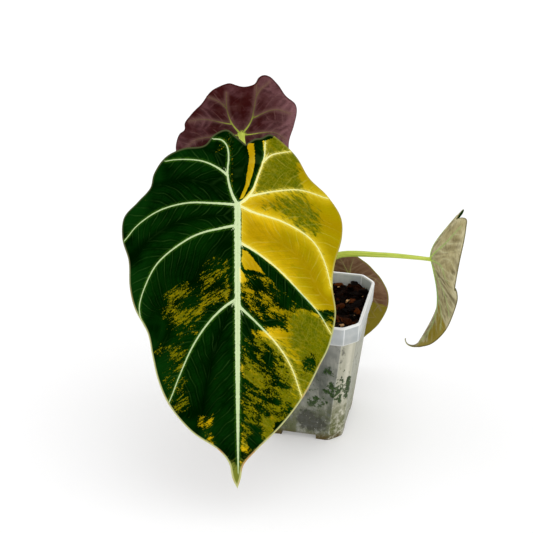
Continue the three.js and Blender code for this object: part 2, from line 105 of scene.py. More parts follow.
class Finish:  # one material and its nodes
    def __init__(self, name, constants):
        self.material = bpy.data.materials.new(name)
        self.material.use_nodes = True
        self.tree = self.material.node_tree
        self.shader = self.tree.nodes["Principled BSDF"]
        for socket, value in constants.items():
            self.shader.inputs[socket].default_value = value

    def node(self, kind, settings, sockets, output=0):
        made = self.tree.nodes.new("ShaderNode" + kind)
        for setting, value in settings.items():
            setattr(made, setting, value)
        for socket, value in sockets.items():
            if isinstance(value, Signal):
                self.tree.links.new(value.socket, made.inputs[socket])
            else:
                made.inputs[socket].default_value = value
        return Signal(self, made.outputs[output])

    def field(self, name):  # a vector kept on the mesh
        return self.node("Attribute", {"attribute_name": name}, {}, output=1)

    def parts(self, vector):
        return [self.node("SeparateXYZ", {}, {0: vector}, output=k) for k in range(3)]

    def scaled(self, place, size):  # size is one patch's size along each axis
        return self.node("VectorMath", {"operation": "DIVIDE"}, {0: place, 1: size})

    def noise(self, place, size, detail=3.0, roughness=0.55):
        sockets = {"Vector": self.scaled(place, size), "Scale": 1.0, "Detail": detail, "Roughness": roughness}
        return self.node("TexNoise", {}, sockets)

    def cells(self, place, size):  # distance to the edges of a net of cells
        sockets = {"Vector": self.scaled(place, size), "Scale": 1.0}
        return self.node("TexVoronoi", {"feature": "DISTANCE_TO_EDGE"}, sockets)

    def blend(self, amount, first, second):
        return self.node("Mix", {"data_type": "RGBA"}, {0: amount, 6: first, 7: second}, output=2)

    def coats(self, colour, *layers):  # each layer is how much of it shows, and its colour
        for amount, paint in layers:
            colour = self.blend(amount, colour, paint)
        return colour

    def bump(self, height):  # the height is in millimetres
        return self.node("Bump", {}, {"Distance": mm, "Height": height})

    def shade(self, sockets):
        for socket, value in sockets.items():
            self.tree.links.new(value.socket, self.shader.inputs[socket])
        return self.material


# mesh helpers

curveSteps = 40  # between two knots of a smooth path


def stepLengths(path):
    return np.linalg.norm(np.diff(path, axis=0), axis=1)


def distancesAlong(path):
    return np.concatenate([[0], np.cumsum(stepLengths(path))])


def directionsAlong(path):
    tangents = np.gradient(path, axis=0)
    return tangents / np.linalg.norm(tangents, axis=1)[:, None]


def anglesAround(count):
    return np.linspace(0, 2 * math.pi, count, endpoint=False)


def smoothPath(points, count):  # evenly spaced along a centripetal curve through the points
    knots = np.array(points, float)
    knots = np.vstack([2 * knots[0] - knots[1], knots, 2 * knots[-1] - knots[-2]])
    share = np.linspace(0, 1, curveSteps, endpoint=False)[:, None]
    pieces = []
    for before, start, end, after in zip(knots, knots[1:], knots[2:], knots[3:]):
        gaps = np.sqrt(stepLengths(np.array([before, start, end, after])))
        leave = (start - before) / gaps[0] - (end - before) / (gaps[0] + gaps[1]) + (end - start) / gaps[1]
        arrive = (end - start) / gaps[1] - (after - start) / (gaps[1] + gaps[2]) + (after - end) / gaps[2]
        leave, arrive = leave * gaps[1], arrive * gaps[1]
        square, cube = share**2, share**3
        pieces.append(
            start * (1 - 3 * square + 2 * cube) + end * (3 * square - 2 * cube)
            + leave * (share - 2 * square + cube) + arrive * (cube - square)
        )
    fine = np.vstack(pieces + [knots[-2:-1]])
    reach = distancesAlong(fine)
    even = np.linspace(0, reach[-1], count + 1)
    return np.stack([np.interp(even, reach, axis) for axis in fine.T], -1)


def loftFaces(rings, sides):  # closed skin over rings of points
    faces = []
    for ring in range(rings - 1):
        for k in range(sides):
            first, second = ring * sides + k, ring * sides + (k + 1) % sides
            faces.append((first, second, second + sides, first + sides))
    last = (rings - 1) * sides
    faces.append(tuple(range(sides))[::-1])
    faces.append(tuple(range(last, last + sides)))
    return faces


def ringAround(centre, axis, radii, aside):  # the ring starts at the nearest direction to aside
    first = aside - axis * aside.dot(axis)
    first = first / np.linalg.norm(first)
    second = np.cross(axis, first)
    angles = anglesAround(len(radii))
    return centre + np.outer(radii * np.cos(angles), first) + np.outer(radii * np.sin(angles), second)


def joinShells(shells):  # each shell is its points, faces, finish number of each face, and fields
    points, faces, finishes, start = [], [], [], 0
    fields = {name: [] for name in shells[0][3]}
    for shellPoints, shellFaces, shellFinishes, shellFields in shells:
        points.append(shellPoints)
        faces.extend(tuple(start + k for k in face) for face in shellFaces)
        finishes.extend(shellFinishes)
        for name, rows in fields.items():
            rows.append(shellFields[name])
        start += len(shellPoints)
    return np.vstack(points), faces, finishes, {name: np.vstack(rows) for name, rows in fields.items()}


def addPiece(name, shells, materials, node, smooth=True):
    points, faces, finishes, fields = joinShells(shells)
    mesh = bpy.data.meshes.new(name)
    mesh.from_pydata((points * mm + plantFoot).tolist(), [], faces)
    for material in materials:
        mesh.materials.append(material)
    mesh.polygons.foreach_set("material_index", finishes)
    mesh.polygons.foreach_set("use_smooth", [smooth] * len(faces))
    for field, rows in fields.items():
        made = mesh.attributes.new(field, "FLOAT_VECTOR", "POINT")
        made.data.foreach_set("vector", rows.astype(np.float32).ravel())
    work = bmesh.new()
    work.from_mesh(mesh)
    bmesh.ops.recalc_face_normals(work, faces=work.faces)
    work.to_mesh(mesh)
    work.free()
    placePiece(bpy.data.objects.new(name, mesh), node)


def placePiece(piece, node):
    scene.collection.objects.link(piece)
    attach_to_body(piece, "root")
    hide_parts(node)
    print(f"{piece.name}: {len(piece.data.polygons)} faces")


# blades

bladeShape = {
    "thickness": 0.8,
    "rimInset": 0.3,
    "rimThinning": 0.3,  # share of the thickness lost towards the margin
    "rimReach": 8,  # over this distance from it
    "bendSteps": 24,  # along the way from the petiole to each point
    "curlFrom": 0.86,  # share of the length where the tip's curl starts
    "veinStep": 1.5,  # between the points of a vein
    "calmMargin": 5,  # the veins sink less this near the margin,
    "calmPetiole": 50,  # near the petiole (in square millimetres),
    "calmVein": 3,  # and this near the next vein
    "ribDepth": 0.9,  # of the vein's half width
    "ribFoot": 1.3,  # how far a rib's foot spreads, in half widths
    "ribTaper": 0.75,
    "ribSink": [0.12, 0.1],  # its foot lies this deep in the blade, its back this far below the middle
    "ribSides": 9,
    "collarLength": 3.4,
    "collarFlare": 0.35,
    "collarSides": 32,
    "collarRings": 12,
    "branchGap": 6.6,  # between the fine veins
    "branchLean": [0.8, 0.02],
    "streak": [0.8, 0.6],  # the way that flecks run, outwards and towards the tip
}


def midribTurn(leaf, along):  # how far the midrib has turned down
    share = along / leaf["length"]
    curl = np.clip((share - bladeShape["curlFrom"]) / (1 - bladeShape["curlFrom"]), 0, 2)
    ahead = leaf["bend"] * share + leaf["bendMore"] * share**2 + leaf["tipCurl"] * curl
    behind = leaf["lobeLift"] * (1 - np.exp(np.minimum(along, 0) / leaf["lobeSoftness"]))
    return np.radians(np.where(along < 0, behind, ahead))


def bladePlaces(leaf, x, y, lift):  # points of the flat blade, bent into place
    facing, droop, lean = (math.radians(leaf[name]) for name in ("facing", "droop", "lean"))
    out = np.array([math.cos(facing), math.sin(facing), 0.0])
    up = np.array([0.0, 0.0, 1.0])
    straight = out * math.cos(droop) - up * math.sin(droop)
    normal = out * math.sin(droop) + up * math.cos(droop)
    tipward = straight * math.cos(lean) + np.cross(normal, straight) * math.sin(lean)
    across = np.cross(normal, tipward)

    steps = (np.arange(bladeShape["bendSteps"]) + 0.5) / bladeShape["bendSteps"]
    bent = midribTurn(leaf, y[:, None] * steps)
    places = np.array(leaf["attach"]) + np.outer(np.cos(bent).mean(1) * y, tipward)
    places -= np.outer(np.sin(bent).mean(1) * y, normal)
    turn = midribTurn(leaf, y)
    upward = np.outer(np.cos(turn), normal) + np.outer(np.sin(turn), tipward)

    left = x < 0
    distance = np.abs(x)
    (leftStart, leftTip), (rightStart, rightTip) = leaf["foldLeft"], leaf["foldRight"]
    start, tip = np.where(left, leftStart, rightStart), np.where(left, leftTip, rightTip)
    fold = start + (tip - start) * np.clip(y / leaf["length"], -0.4, 1)
    curl = np.where(left, leaf["curlLeft"], leaf["curlRight"])

    def slopeAt(away, fold, curl):
        return np.radians(fold * (1 - np.exp(-away / leaf["foldSoftness"])) + curl * away / leaf["halfWidth"])

    slopes = slopeAt(distance[:, None] * steps, fold[:, None], curl[:, None])
    height, count, phaseLeft, phaseRight = leaf["wave"]
    ripple = np.sin(count * np.arctan2(distance, y) + np.where(left, phaseLeft, phaseRight))
    rise = np.sin(slopes).mean(1) * distance + height * ripple * (x / leaf["halfWidth"]) ** 2
    side = np.sign(x)
    places += np.outer(side * np.cos(slopes).mean(1) * distance, across) + rise[:, None] * upward
    slope = slopeAt(distance, fold, curl)
    face = np.cos(slope)[:, None] * upward - np.outer(side * np.sin(slope), across)
    return places + face * lift[:, None], face, across


batchSize = 4000  # points measured at a time


def nearest(path, x, y):  # signed distance to a line, distance, and how far along it
    start, run = path[:-1], np.diff(path, axis=0)
    length = np.hypot(run[:, 0], run[:, 1])
    reached = np.concatenate([[0], np.cumsum(length)])
    found = np.empty((3, len(x)))
    for rows in np.array_split(np.arange(len(x)), len(x) // batchSize + 1):
        toX, toY = x[rows, None] - start[:, 0], y[rows, None] - start[:, 1]
        share = np.clip((toX * run[:, 0] + toY * run[:, 1]) / length**2, 0, 1)
        distance = np.hypot(toX - share * run[:, 0], toY - share * run[:, 1])
        k = distance.argmin(1)
        pick = (np.arange(len(rows)), k)
        turn = run[k, 0] * toY[pick] - run[k, 1] * toX[pick]
        found[0, rows] = np.where(turn < 0, -1, 1) * distance[pick]
        found[1, rows] = distance[pick]
        found[2, rows] = reached[k] + share[pick] * length[k]
    return found


def coverage(polygon, x, y, softness):  # 1 inside, 0 outside, eased over the softness
    loop = np.array(polygon + polygon[:1], float)
    distance = nearest(loop, x, y)[1]
    inside = np.zeros(len(x), bool)
    for (startX, startY), (endX, endY) in zip(loop[:-1], loop[1:]):
        if startY != endY:
            reach = (endX - startX) * (y - startY) / (endY - startY) + startX
            inside ^= ((startY > y) != (endY > y)) & (x < reach)
    return np.clip(0.5 + np.where(inside, distance, -distance) / softness, 0, 1)


def veinPath(vein):
    points, width = vein
    reach = stepLengths(np.array(points, float)).sum()
    return smoothPath(points, max(6, round(reach / bladeShape["veinStep"]))), width


def paintedHalf(order, width, share, along):  # half the painted width of a vein
    if order == 0:  # the midrib keeps its width longer
        return 0.78 * width * (1 - 0.85 * share**2)
    return width * (0.34 + 0.3 * np.exp(-along / 7)) * (1 - 0.5 * share)


def leafFields(leaf, outline, x, y):  # what the shaders need to know at each point of the flat blade
    rows = []
    for order, vein in enumerate(leaf["veins"]):
        path, width = veinPath(vein)
        side, gap, along = nearest(path, x, y)
        share = along / stepLengths(path).sum()
        half = leaf["veinPaint"] * paintedHalf(order, width, share, along)
        end = 1 - np.clip((share - 0.88) / 0.1, 0, 1)
        rows.append([side, gap, half, along, end])
    signed, gaps, halves, alongs, ends = np.array(rows).swapaxes(0, 1)
    clear = gaps - halves
    best = (clear.argmin(0), np.arange(len(x)))
    between = np.diff(np.sort(clear, axis=0)[:2], axis=0)[0]
    gap, along = gaps[best], alongs[best]
    lean, curve = bladeShape["branchLean"]
    phase = (along - lean * gap - curve * gap**2) / bladeShape["branchGap"]
    edge = nearest(np.vstack([outline, outline[:1]]), x, y)[1]
    shares = {kind: np.zeros(len(x)) for kind in ("gold", "olive", "patch")}
    for kind, share, softness, polygon in leaf["patches"]:
        cover = coverage(polygon, x, y, softness)
        shares[kind] = shares[kind] * (1 - cover) + share * cover
    outward, onward = bladeShape["streak"]
    return {
        "flat": np.stack([x, y, edge], -1),
        "vein": np.stack([signed[best], gap, halves[best]], -1),
        "branch": np.stack([phase, between, ends[best]], -1),
        "blotch": np.stack(list(shares.values()), -1),
        "streak": np.stack([outward * np.abs(x) + onward * y, onward * np.abs(x) - outward * y, 0 * x], -1),
        "stalk": np.zeros((len(x), 3)),
    }


def sunkenVeins(leaf, fields):  # how far the blade dips at its veins, both faces alike
    x, y, edge = fields["flat"].T
    _, gap, half = fields["vein"].T
    phase, between, ends = fields["branch"].T
    calm = np.clip(edge / bladeShape["calmMargin"], 0, 1)
    calm = calm * (1 - np.exp(-(x**2 + y**2) / bladeShape["calmPetiole"]))
    valley = np.exp(-((np.maximum(gap - half, 0) / leaf["quiltWidth"]) ** 2))
    furrow = (0.5 - 0.5 * np.cos(2 * math.pi * phase)) * ends
    furrow = furrow * np.clip(between / bladeShape["calmVein"], 0, 1)
    return -calm * (leaf["quiltDepth"] * valley + leaf["furrowDepth"] * furrow * (1 - valley))


def sheetShell(leaf, outline):  # rings from the upper face's middle, round the margin, to the lower one's
    upper, under = leaf["rings"]
    count = len(outline)
    inner = 1 - bladeShape["rimInset"] / np.linalg.norm(outline, axis=1)
    rings = [(k / upper, 1) for k in range(upper + 1)] + [(None, 0)]
    rings += [(k / under, -1) for k in range(under, -1, -1)]
    flats, sides = [], []
    for share, side in rings:
        ring = outline if share is None else outline * (share * inner)[:, None]
        if share == 0:
            ring = ring[:1]
        flats.append(ring)
        sides.append(np.full(len(ring), side))
    faces = [(0, 1 + k, 1 + (k + 1) % count) for k in range(count)]
    finishes = [0] * count
    start = 1
    for level in range(1, upper + under + 1):
        for k in range(count):
            first, second = start + k, start + (k + 1) % count
            faces.append((first, first + count, second + count, second))
        finishes.extend([0 if level <= upper else 1] * count)
        start += count
    pole = start + count
    faces.extend((start + k, pole, start + (k + 1) % count) for k in range(count))
    finishes.extend([1] * count)
    return np.vstack(flats), np.concatenate(sides), faces, finishes


def ribShell(vein):  # a raised vein with a soft foot, closed inside the blade
    path, width = veinPath(vein)
    tangents = directionsAlong(path)
    aside = np.stack([tangents[:, 1], -tangents[:, 0]], -1)
    spread = np.linspace(-1, 1, bladeShape["ribSides"])
    half = width * (1 - bladeShape["ribTaper"] * np.linspace(0, 1, len(path)))
    swell = 0.5 + 0.5 * np.cos(math.pi * spread)
    footSink, backSink = bladeShape["ribSink"]
    depths = footSink - bladeShape["thickness"] / 2 - np.outer(bladeShape["ribDepth"] * half, swell)
    offsets = np.concatenate([spread, [0.9, -0.9]])
    lifts = np.hstack([depths, np.full((len(path), 2), -backSink)])
    foot = bladeShape["ribFoot"] * half
    flats = path[:, None, :] + aside[:, None, :] * (foot[:, None] * offsets)[..., None]
    return flats.reshape(-1, 2), lifts.ravel(), loftFaces(len(path), len(offsets))


def stalkRing(sides, along):  # place round and along a petiole, on a circle of fixed size
    angles = anglesAround(sides)
    return np.stack([2 * np.cos(angles), 2 * np.sin(angles), np.full(sides, along)], -1)


def collarShell(leaf, fields):  # the flare where the petiole joins the blade
    origin = np.zeros(1)
    (place,), (face,), across = bladePlaces(leaf, origin, origin, origin)
    direction = arrivalOf(leaf)
    radius = leaf["petiole"]["radii"][1]
    sides, length = bladeShape["collarSides"], bladeShape["collarLength"]
    rings, stalk = [], []
    for share in np.linspace(0, 1, bladeShape["collarRings"]):
        axis = direction * (1 - share**2) + face * share**2
        axis /= np.linalg.norm(axis)
        centre = place - direction * length * (1 - share)
        size = radius * (1 + bladeShape["collarFlare"] * share**2.2)
        rings.append(ringAround(centre, axis, np.full(sides, size), across))
        stalk.append(stalkRing(sides, length * share))
    points = np.vstack(rings)
    collarFields = {name: np.tile(rows[0], (len(points), 1)) for name, rows in fields.items()}
    collarFields["stalk"] = np.vstack(stalk)
    faces = loftFaces(len(rings), sides)
    return points, faces, [2] * len(faces), collarFields


def leafOutline(leaf):
    half = leaf["samples"] // 2
    left = smoothPath(leaf["left"], half)
    right = smoothPath(leaf["right"], half)[::-1]
    return np.vstack([left[:-1], right[:-1]])


def addBlade(name, leaf, materials, node):
    outline = leafOutline(leaf)
    flats, sides, faces, finishes = sheetShell(leaf, outline)
    ribs = [ribShell(vein) for vein in leaf["veins"]]
    x, y = np.vstack([flats] + [rib[0] for rib in ribs]).T
    fields = leafFields(leaf, outline, x, y)
    edge = fields["flat"][: len(flats), 2]
    thin = 1 - bladeShape["rimThinning"] * (1 - np.clip(edge / bladeShape["rimReach"], 0, 1))
    parts = [(sides * thin * bladeShape["thickness"] / 2, faces, finishes)]
    parts += [(lifts, ribFaces, [1] * len(ribFaces)) for _, lifts, ribFaces in ribs]
    lift = np.concatenate([part[0] for part in parts]) + sunkenVeins(leaf, fields)
    places = bladePlaces(leaf, x, y, lift)[0]
    shells, start = [], 0
    for lifts, partFaces, partFinishes in parts:
        rows = slice(start, start + len(lifts))
        partFields = {key: value[rows] for key, value in fields.items()}
        shells.append((places[rows], partFaces, partFinishes, partFields))
        start += len(lifts)
    shells.append(collarShell(leaf, fields))
    addPiece(name, shells, materials, node)


# petioles

petioleShape = {
    "foot": 81.3,
    "straight": 5,  # at either end
    "clearance": 0.3,  # from the collar
    "sides": 28,
    "rings": 110,
    "sheath": [0.35, 7],  # how much wider the foot is, and over what length
    "sink": 1.2,  # how far each end goes into what it joins
    "ridges": [0.012, 0.008],  # faint ones that run the petiole's length
}


def arrivalOf(leaf):
    direction = np.array(leaf["petiole"]["arrival"], float)
    return direction / np.linalg.norm(direction)


def addPetiole(name, leaf, material, node):
    startX, startY = leaf["petiole"]["path"][0]
    foot, straight, sink = (petioleShape[key] for key in ("foot", "straight", "sink"))
    direction = arrivalOf(leaf)
    attach = np.array(leaf["attach"], float)
    end = bladeShape["collarLength"] + petioleShape["clearance"]
    knots = [(startX, startY, foot), (startX, startY, foot + straight)]
    knots += [tuple(point) for point in leaf["petiole"]["path"][1:]]
    knots += [tuple(attach - direction * (end + straight)), tuple(attach - direction * end)]
    path = smoothPath(knots, petioleShape["rings"])
    path = np.vstack([path[0] - [0, 0, sink], path, path[-1] + direction * sink])
    tangents = directionsAlong(path)
    tangents[:2] = (0, 0, 1)
    tangents[-2:] = direction
    sides = petioleShape["sides"]
    angles = anglesAround(sides)
    startRadius, endRadius = leaf["petiole"]["radii"]
    wider, sheathLength = petioleShape["sheath"]
    fine, broad = petioleShape["ridges"]
    aside = np.array([1.0, 0.0, 0.0])
    run = distancesAlong(path)
    rings, stalk = [], []
    for centre, tangent, along in zip(path, tangents, run):
        radius = startRadius + (endRadius - startRadius) * along / run[-1]
        radius *= 1 + wider * math.exp(-((along / sheathLength) ** 2))
        radii = radius * (1 + fine * np.sin(7 * angles) + broad * np.sin(3 * angles + along / 40))
        ring = ringAround(centre, tangent, radii, aside)
        aside = ring[0] - centre
        rings.append(ring)
        stalk.append(stalkRing(sides, along - run[-1]))
    faces = loftFaces(len(rings), sides)
    shell = (np.vstack(rings), faces, [0] * len(faces), {"stalk": np.vstack(stalk)})
    addPiece(name, [shell], [material], node)


# finishes of the blades

still = 400.0  # a patch so long that its noise hardly changes along that axis


class BladeFinish(Finish):  # the fields and fine veins that both faces of a blade use
    def __init__(self, name, specular, fineWidth):
        super().__init__(name, {"Specular IOR Level": specular})
        self.flat, self.vein = self.field("flat"), self.field("vein")
        self.branch, self.streak = self.field("branch"), self.field("streak")
        self.goldShare, self.oliveShare, self.patchShare = self.parts(self.field("blotch"))
        self.side, self.gap, self.half = self.parts(self.vein)
        self.across, self.along, self.edge = self.parts(self.flat)
        self.clear = self.gap - self.half
        phase, self.between, ends = self.parts(self.branch)
        wobble = self.evenNoise(17.0, 2.0)
        some = self.evenNoise(9.0, 2.0).rise(0.3, 0.62)
        bent = phase + wobble * 1.3
        fromLine = abs(bent.fraction() - 0.5)
        fromTwig = abs((bent * 3.0).fraction() - 0.5)  # finer lines between the fine ones
        fade = self.between.rise(0.1, 3.0) * self.edge.rise(0.4, 3.0) * ends
        line = fromLine.rise(fineWidth, 0.0) * 0.55 + fromLine.rise(fineWidth * 3, 0.0) * 0.3
        line = line + fromTwig.rise(fineWidth * 3, 0.0) * 0.15
        middle = abs(self.between + wobble * 5.0 - 2.5)
        join = middle.rise(1.1, 0.0) * self.edge.rise(2.0, 6.0) * 0.35
        self.line = (line * fade + join) * some
        self.swell = fromLine.rise(0.0, 0.5) * fade  # the blade between two fine veins

    def evenNoise(self, size, *grain):  # patches of one size all over the blade
        return self.noise(self.flat, (size, size, still), *grain)

    def fleckNoise(self, length, width, *grain):  # patches that run the way that flecks do
        return self.noise(self.streak, (length, width, 1.0), *grain)

    def rim(self, width):
        return self.edge.rise(width, width * 0.4)


class VelvetFinish(BladeFinish):  # dark green with gold flecks
    def __init__(self, name, look):
        super().__init__(name, 0.0, look["fineWidth"])
        self.look = look
        self.cloud = self.evenNoise(24.0, 3.0)
        self.grain = self.fleckNoise(3.4, 0.6, 4.0, 0.65)
        self.combed = self.noise(self.branch, (0.11, 22.0, still), 4.0, 0.6)  # runs along the fine veins
        feather = self.fleckNoise(1.3, 1.3, 2.0)
        wavy = abs(self.side) - self.half * (0.6 + 0.8 * feather)
        self.inVein = wavy.rise(0.2, -0.15) * self.clear.rise(1.6, 0.8)
        glow = self.clear.rise(look["glowWidth"], 0.0) * (0.3 + 1.2 * self.grain.rise(0.3, 0.7))
        self.glow = glow * glow
        self.faintLine = self.line * (0.35 + 0.65 * self.gap.rise(14.0, 1.0))

        # flecks run outwards and towards the tip, and are made of noise from large to small
        islands = self.fleckNoise(13.0, 7.0, 2.0, 0.5)
        blocks = self.fleckNoise(5.4, 2.2, 5.0, 0.62)
        strokes = self.fleckNoise(6.0, 1.2, 4.0, 0.6)
        self.blocks = blocks + (strokes - blocks) * self.across.rise(0.0, -3.0)  # finer left of the midrib
        crumbs = self.fleckNoise(1.5, 0.8, 4.0, 0.65)
        specks = self.fleckNoise(0.9, 0.5, 2.0)
        large = islands * 0.6 + self.blocks * 0.6
        small = crumbs * 0.4 + specks * 0.4
        self.fleck = self.goldShare * 0.6 + 0.7 - large - small

    def green(self):
        look = self.look
        return self.coats(
            self.blend(self.cloud.rise(0.35, 0.65), look["deep"], look["mid"]),
            # painted sheen: the swells between fine veins are lighter, and light streaks run along the fine
            # veins
            (self.swell * 0.35 * self.grain.rise(0.3, 0.7), look["ridge"]),
            (self.combed.rise(0.48, 0.75) * 0.28, look["ridge"]),
            # painted sheen towards the margin
            (self.edge.rise(18.0, 1.0) * self.cloud.rise(0.35, 0.6) * 0.4, look["outer"]),
            # painted shade in the valleys midway between the veins
            (self.between.rise(9.0, 0.0) * 0.8, look["deep"]),
            (self.glow * look["glow"], look["glowGreen"]),
            (self.faintLine * 0.23, look["fineGreen"]),
            (self.fleck.rise(-0.06, 0.0) * 0.65, look["haloGreen"]),
        )

    def gold(self):
        look, grain = self.look, self.grain
        ragged = self.fleckNoise(5.0, 2.0, 5.0, 0.65) * 0.6 + grain * 0.4
        far = abs(self.across).rise(4.0, 48.0) * 0.95 + (self.cloud - 0.38) * 1.8
        far = far + self.oliveShare * 0.6 + (ragged - 0.5) * 1.9
        olive = (self.oliveShare * 0.6 + 0.2 - ragged).rise(-0.07, 0.08)
        dark = grain.rise(0.5, 0.7) * 0.5 + self.combed.rise(0.5, 0.72) * 0.5
        dark = dark + self.blocks.rise(0.48, 0.6) * 0.6
        dots = self.evenNoise(0.8, 2.0)
        net = self.cells(self.flat, (1.8, 1.8, still))
        partly = self.goldShare.rise(0.95, 0.7)
        return self.coats(
            self.blend(far, look["gold"], look["goldOlive"]),
            # painted shade in the middle of the panels between veins; the same shade colour darkens streaks
            # along the fine veins
            (self.between.rise(11.0, 0.0) * 0.55, look["goldShade"]),
            (self.combed.rise(0.38, 0.66) * 0.5, look["goldShade"]),
            # painted shade in the cells between fine veins
            (self.swell * self.cloud.rise(0.35, 0.6) * 0.35, look["goldShade"]),
            # painted highlight beside the main veins
            (self.clear.rise(6.0, 0.0) * 0.4, look["goldBright"]),
            (olive * (0.7 + 0.3 * ragged.rise(0.62, 0.36)), look["olive"]),
            (dark * (0.04 + 0.5 * olive), look["oliveDark"]),
            (dots.rise(0.54, 0.66) * (0.05 + 0.2 * olive), look["oliveDark"]),
            (net.rise(0.12, 0.0) * (0.02 + 0.05 * olive), look["goldPale"]),
            (self.glow * 0.5, look["goldPale"]),
            (self.faintLine * (0.38 - 0.1 * olive), look["goldPale"]),
            (self.fleck.rise(0.09, 0.0) * 0.8 * partly, look["fleckEdge"]),
            (self.goldShare.rise(0.56, 0.36) * grain.rise(0.3, 0.6) * 0.7, look["fleckEdge"]),
        )

    def mainVeins(self):
        look = self.look
        threads = self.noise(self.vein, (0.3, still, still), 2.0).rise(0.4, 0.62)
        mint = self.blend(threads, look["veinGreen"], look["veinPale"])
        cream = self.blend(threads, look["veinGold"], look["veinCream"])
        return self.blend(self.goldShare.rise(0.35, 0.8), mint, cream)


def upperFinish(name, look, length):
    face = VelvetFinish(name, look)
    # the tip is olive, and the pale rim turns warm in places, above all at the tip's right
    tip = (face.along + (face.blocks - 0.5) * 26.0).rise(length * 0.905, length * 0.94)
    late = face.along.rise(0.0, length * 0.6)
    tipSide = face.along.rise(length * 0.8, length * 0.9) * face.across.rise(-1.0, 4.0)
    warm = (face.evenNoise(14.0) + tipSide * 0.2).rise(0.54, 0.68) * late
    colour = face.coats(
        face.blend(face.fleck.rise(-0.006, 0.01), face.green(), face.gold()),
        (tip * 0.9, look["tip"]),
        (face.inVein * (0.96 - 0.3 * tip), face.mainVeins()),
        (face.rim(look["rimWidth"]) * (0.12 + 0.88 * late), face.blend(warm, look["rim"], look["rimWarm"])),
    )
    pile = face.evenNoise(0.22, 2.0)
    height = pile * 0.03 + face.swell * 0.35 - face.line * 0.15 + face.inVein * 0.12 + face.grain * 0.08
    return face.shade({
        "Base Color": colour,
        "Roughness": 0.6 + 0.16 * pile - 0.14 * face.inVein,
        "Normal": face.bump(height),
    })


def underFinish(name, look):
    face = BladeFinish(name, 0.03, look["fineWidth"])
    inVein = (abs(face.side) - face.half).rise(0.15, -0.25) * face.clear.rise(1.6, 0.8)
    glow = face.clear.rise(look["glowWidth"], 0.0)
    plane = face.node("VectorMath", {"operation": "MULTIPLY"}, {0: face.flat, 1: (1.0, 1.0, 0.0)})
    fromPetiole = face.node("VectorMath", {"operation": "LENGTH"}, {0: plane}, output=1)
    reach = look["veinReach"]
    veinColour = face.coats(
        look["veinStart"],
        (fromPetiole.rise(3.0, reach * 0.45), look["vein"]),
        (fromPetiole.rise(reach * 0.4, reach), look["veinEnd"]),
    )

    cloud = face.evenNoise(15.0, 4.0)
    grain = face.fleckNoise(3.2, 1.0, 4.0, 0.65)
    # dark and pale patches of painted shade and painted light, in place of the creases of a crumpled blade
    blotch = face.noise(face.flat, (11.0, 7.0, still), 4.0, 0.6)
    ragged = face.fleckNoise(10.0, 5.0, 5.0, 0.62)
    patch = (face.patchShare * 0.66 + 0.17 - ragged).rise(-0.09, 0.07)
    outer = face.edge.rise(look["outerWidth"], 1.0) * 0.45 + (cloud - 0.42) * 2.2
    outer = outer + face.across * look["sideways"] + face.along * look["tipwards"]
    colour = face.coats(
        look["inner"],
        (outer, look["outer"]),
        (grain.rise(0.45, 0.7) * 0.4, look["shade"]),
        # painted shade in the cells between fine veins
        (face.swell * 0.6 * cloud.rise(0.3, 0.6), look["shade"]),
        # painted shade and painted light of the creases
        (blotch.rise(0.5, 0.62) * look["creaseShadeAndLight"], look["shade"]),
        (blotch.rise(0.46, 0.34) * look["creaseShadeAndLight"], look["outer"]),
        (patch * look["patchStrength"], look["patch"]),
        (glow * glow * 0.55, look["glow"]),
        (face.line * look["fineStrength"] * face.gap.rise(22.0, 1.0), look["fine"]),
        (inVein * 0.85, veinColour),
        (face.rim(look["rimWidth"]) * 0.85, look["rim"]),
    )
    return face.shade({
        "Base Color": colour,
        "Roughness": 0.5 + 0.2 * grain,
        "Normal": face.bump(face.swell * -0.3 + face.line * 0.15 + grain * 0.1),
    })


def petioleFinish():
    finish = Finish("petioleSkin", {"Specular IOR Level": 0.4, "Sheen Weight": 0.05})
    stalk = finish.field("stalk")
    along = finish.parts(stalk)[2]  # 0 at the blade, and less towards the foot
    fibre = finish.noise(stalk, (0.5, 0.5, 26.0), 3.0)
    bloom = finish.noise(stalk, (2.2, 2.2, 9.0), 4.0)
    colour = finish.coats(
        tone(168, 194, 52),
        (fibre.rise(0.35, 0.65), tone(214, 224, 98)),
        (bloom.rise(0.5, 0.7) * 0.4, tone(134, 166, 46)),
        (along.rise(-60.0, -130.0) * 0.4, tone(140, 132, 70)),
        (along.rise(-10.0, 3.0) * 0.55, tone(206, 220, 84)),
    )
    return finish.shade({
        "Base Color": colour,
        "Roughness": 0.38 + 0.2 * fibre,
        "Normal": finish.bump(fibre * 0.12 + bloom * 0.05),
    })


petioleSkin = petioleFinish()


def addLeaf(place, leaf, under):  # the blade and petiole of one leaf
    upperSide = upperFinish(place + "Velvet", velvetGreen, leaf["length"])
    underSide = underFinish(place + "Underside", under)
    name = place.capitalize()
    addBlade("leaf" + name, leaf, [upperSide, underSide, petioleSkin], "leaf_" + place)
    addPetiole("petiole" + name, leaf, petioleSkin, "petiole_" + place)


velvetGreen = {
    "deep": tone(0, 16, 0),
    "mid": tone(3, 33, 1),
    # painted sheen for the swells of the blade
    "ridge": tone(12, 58, 8),
    # painted sheen towards the margin
    "outer": tone(14, 58, 12),
    "glow": 0.5,
    "glowWidth": 2.0,  # beside the veins
    "glowGreen": tone(66, 112, 22),
    "fineWidth": 0.045,
    "fineGreen": tone(88, 140, 62),
    "haloGreen": tone(62, 74, 2),
    "gold": tone(230, 180, 10),
    # painted shade of the gold
    "goldShade": tone(158, 126, 0),
    # painted highlight of the gold, beside the main veins
    "goldBright": tone(238, 206, 30),
    "goldOlive": tone(162, 144, 0),
    "goldPale": tone(238, 222, 92),
    "olive": tone(88, 98, 0),
    "oliveDark": tone(54, 74, 0),
    "fleckEdge": tone(112, 106, 4),
    "veinGreen": tone(180, 208, 140),
    "veinPale": tone(234, 244, 204),
    "veinGold": tone(232, 230, 140),
    "veinCream": tone(252, 250, 196),
    "tip": tone(122, 130, 46),
    "rimWidth": 1.35,
    "rim": tone(192, 194, 132),
    "rimWarm": tone(188, 154, 98),
}

# front leaf, the upper face towards the camera

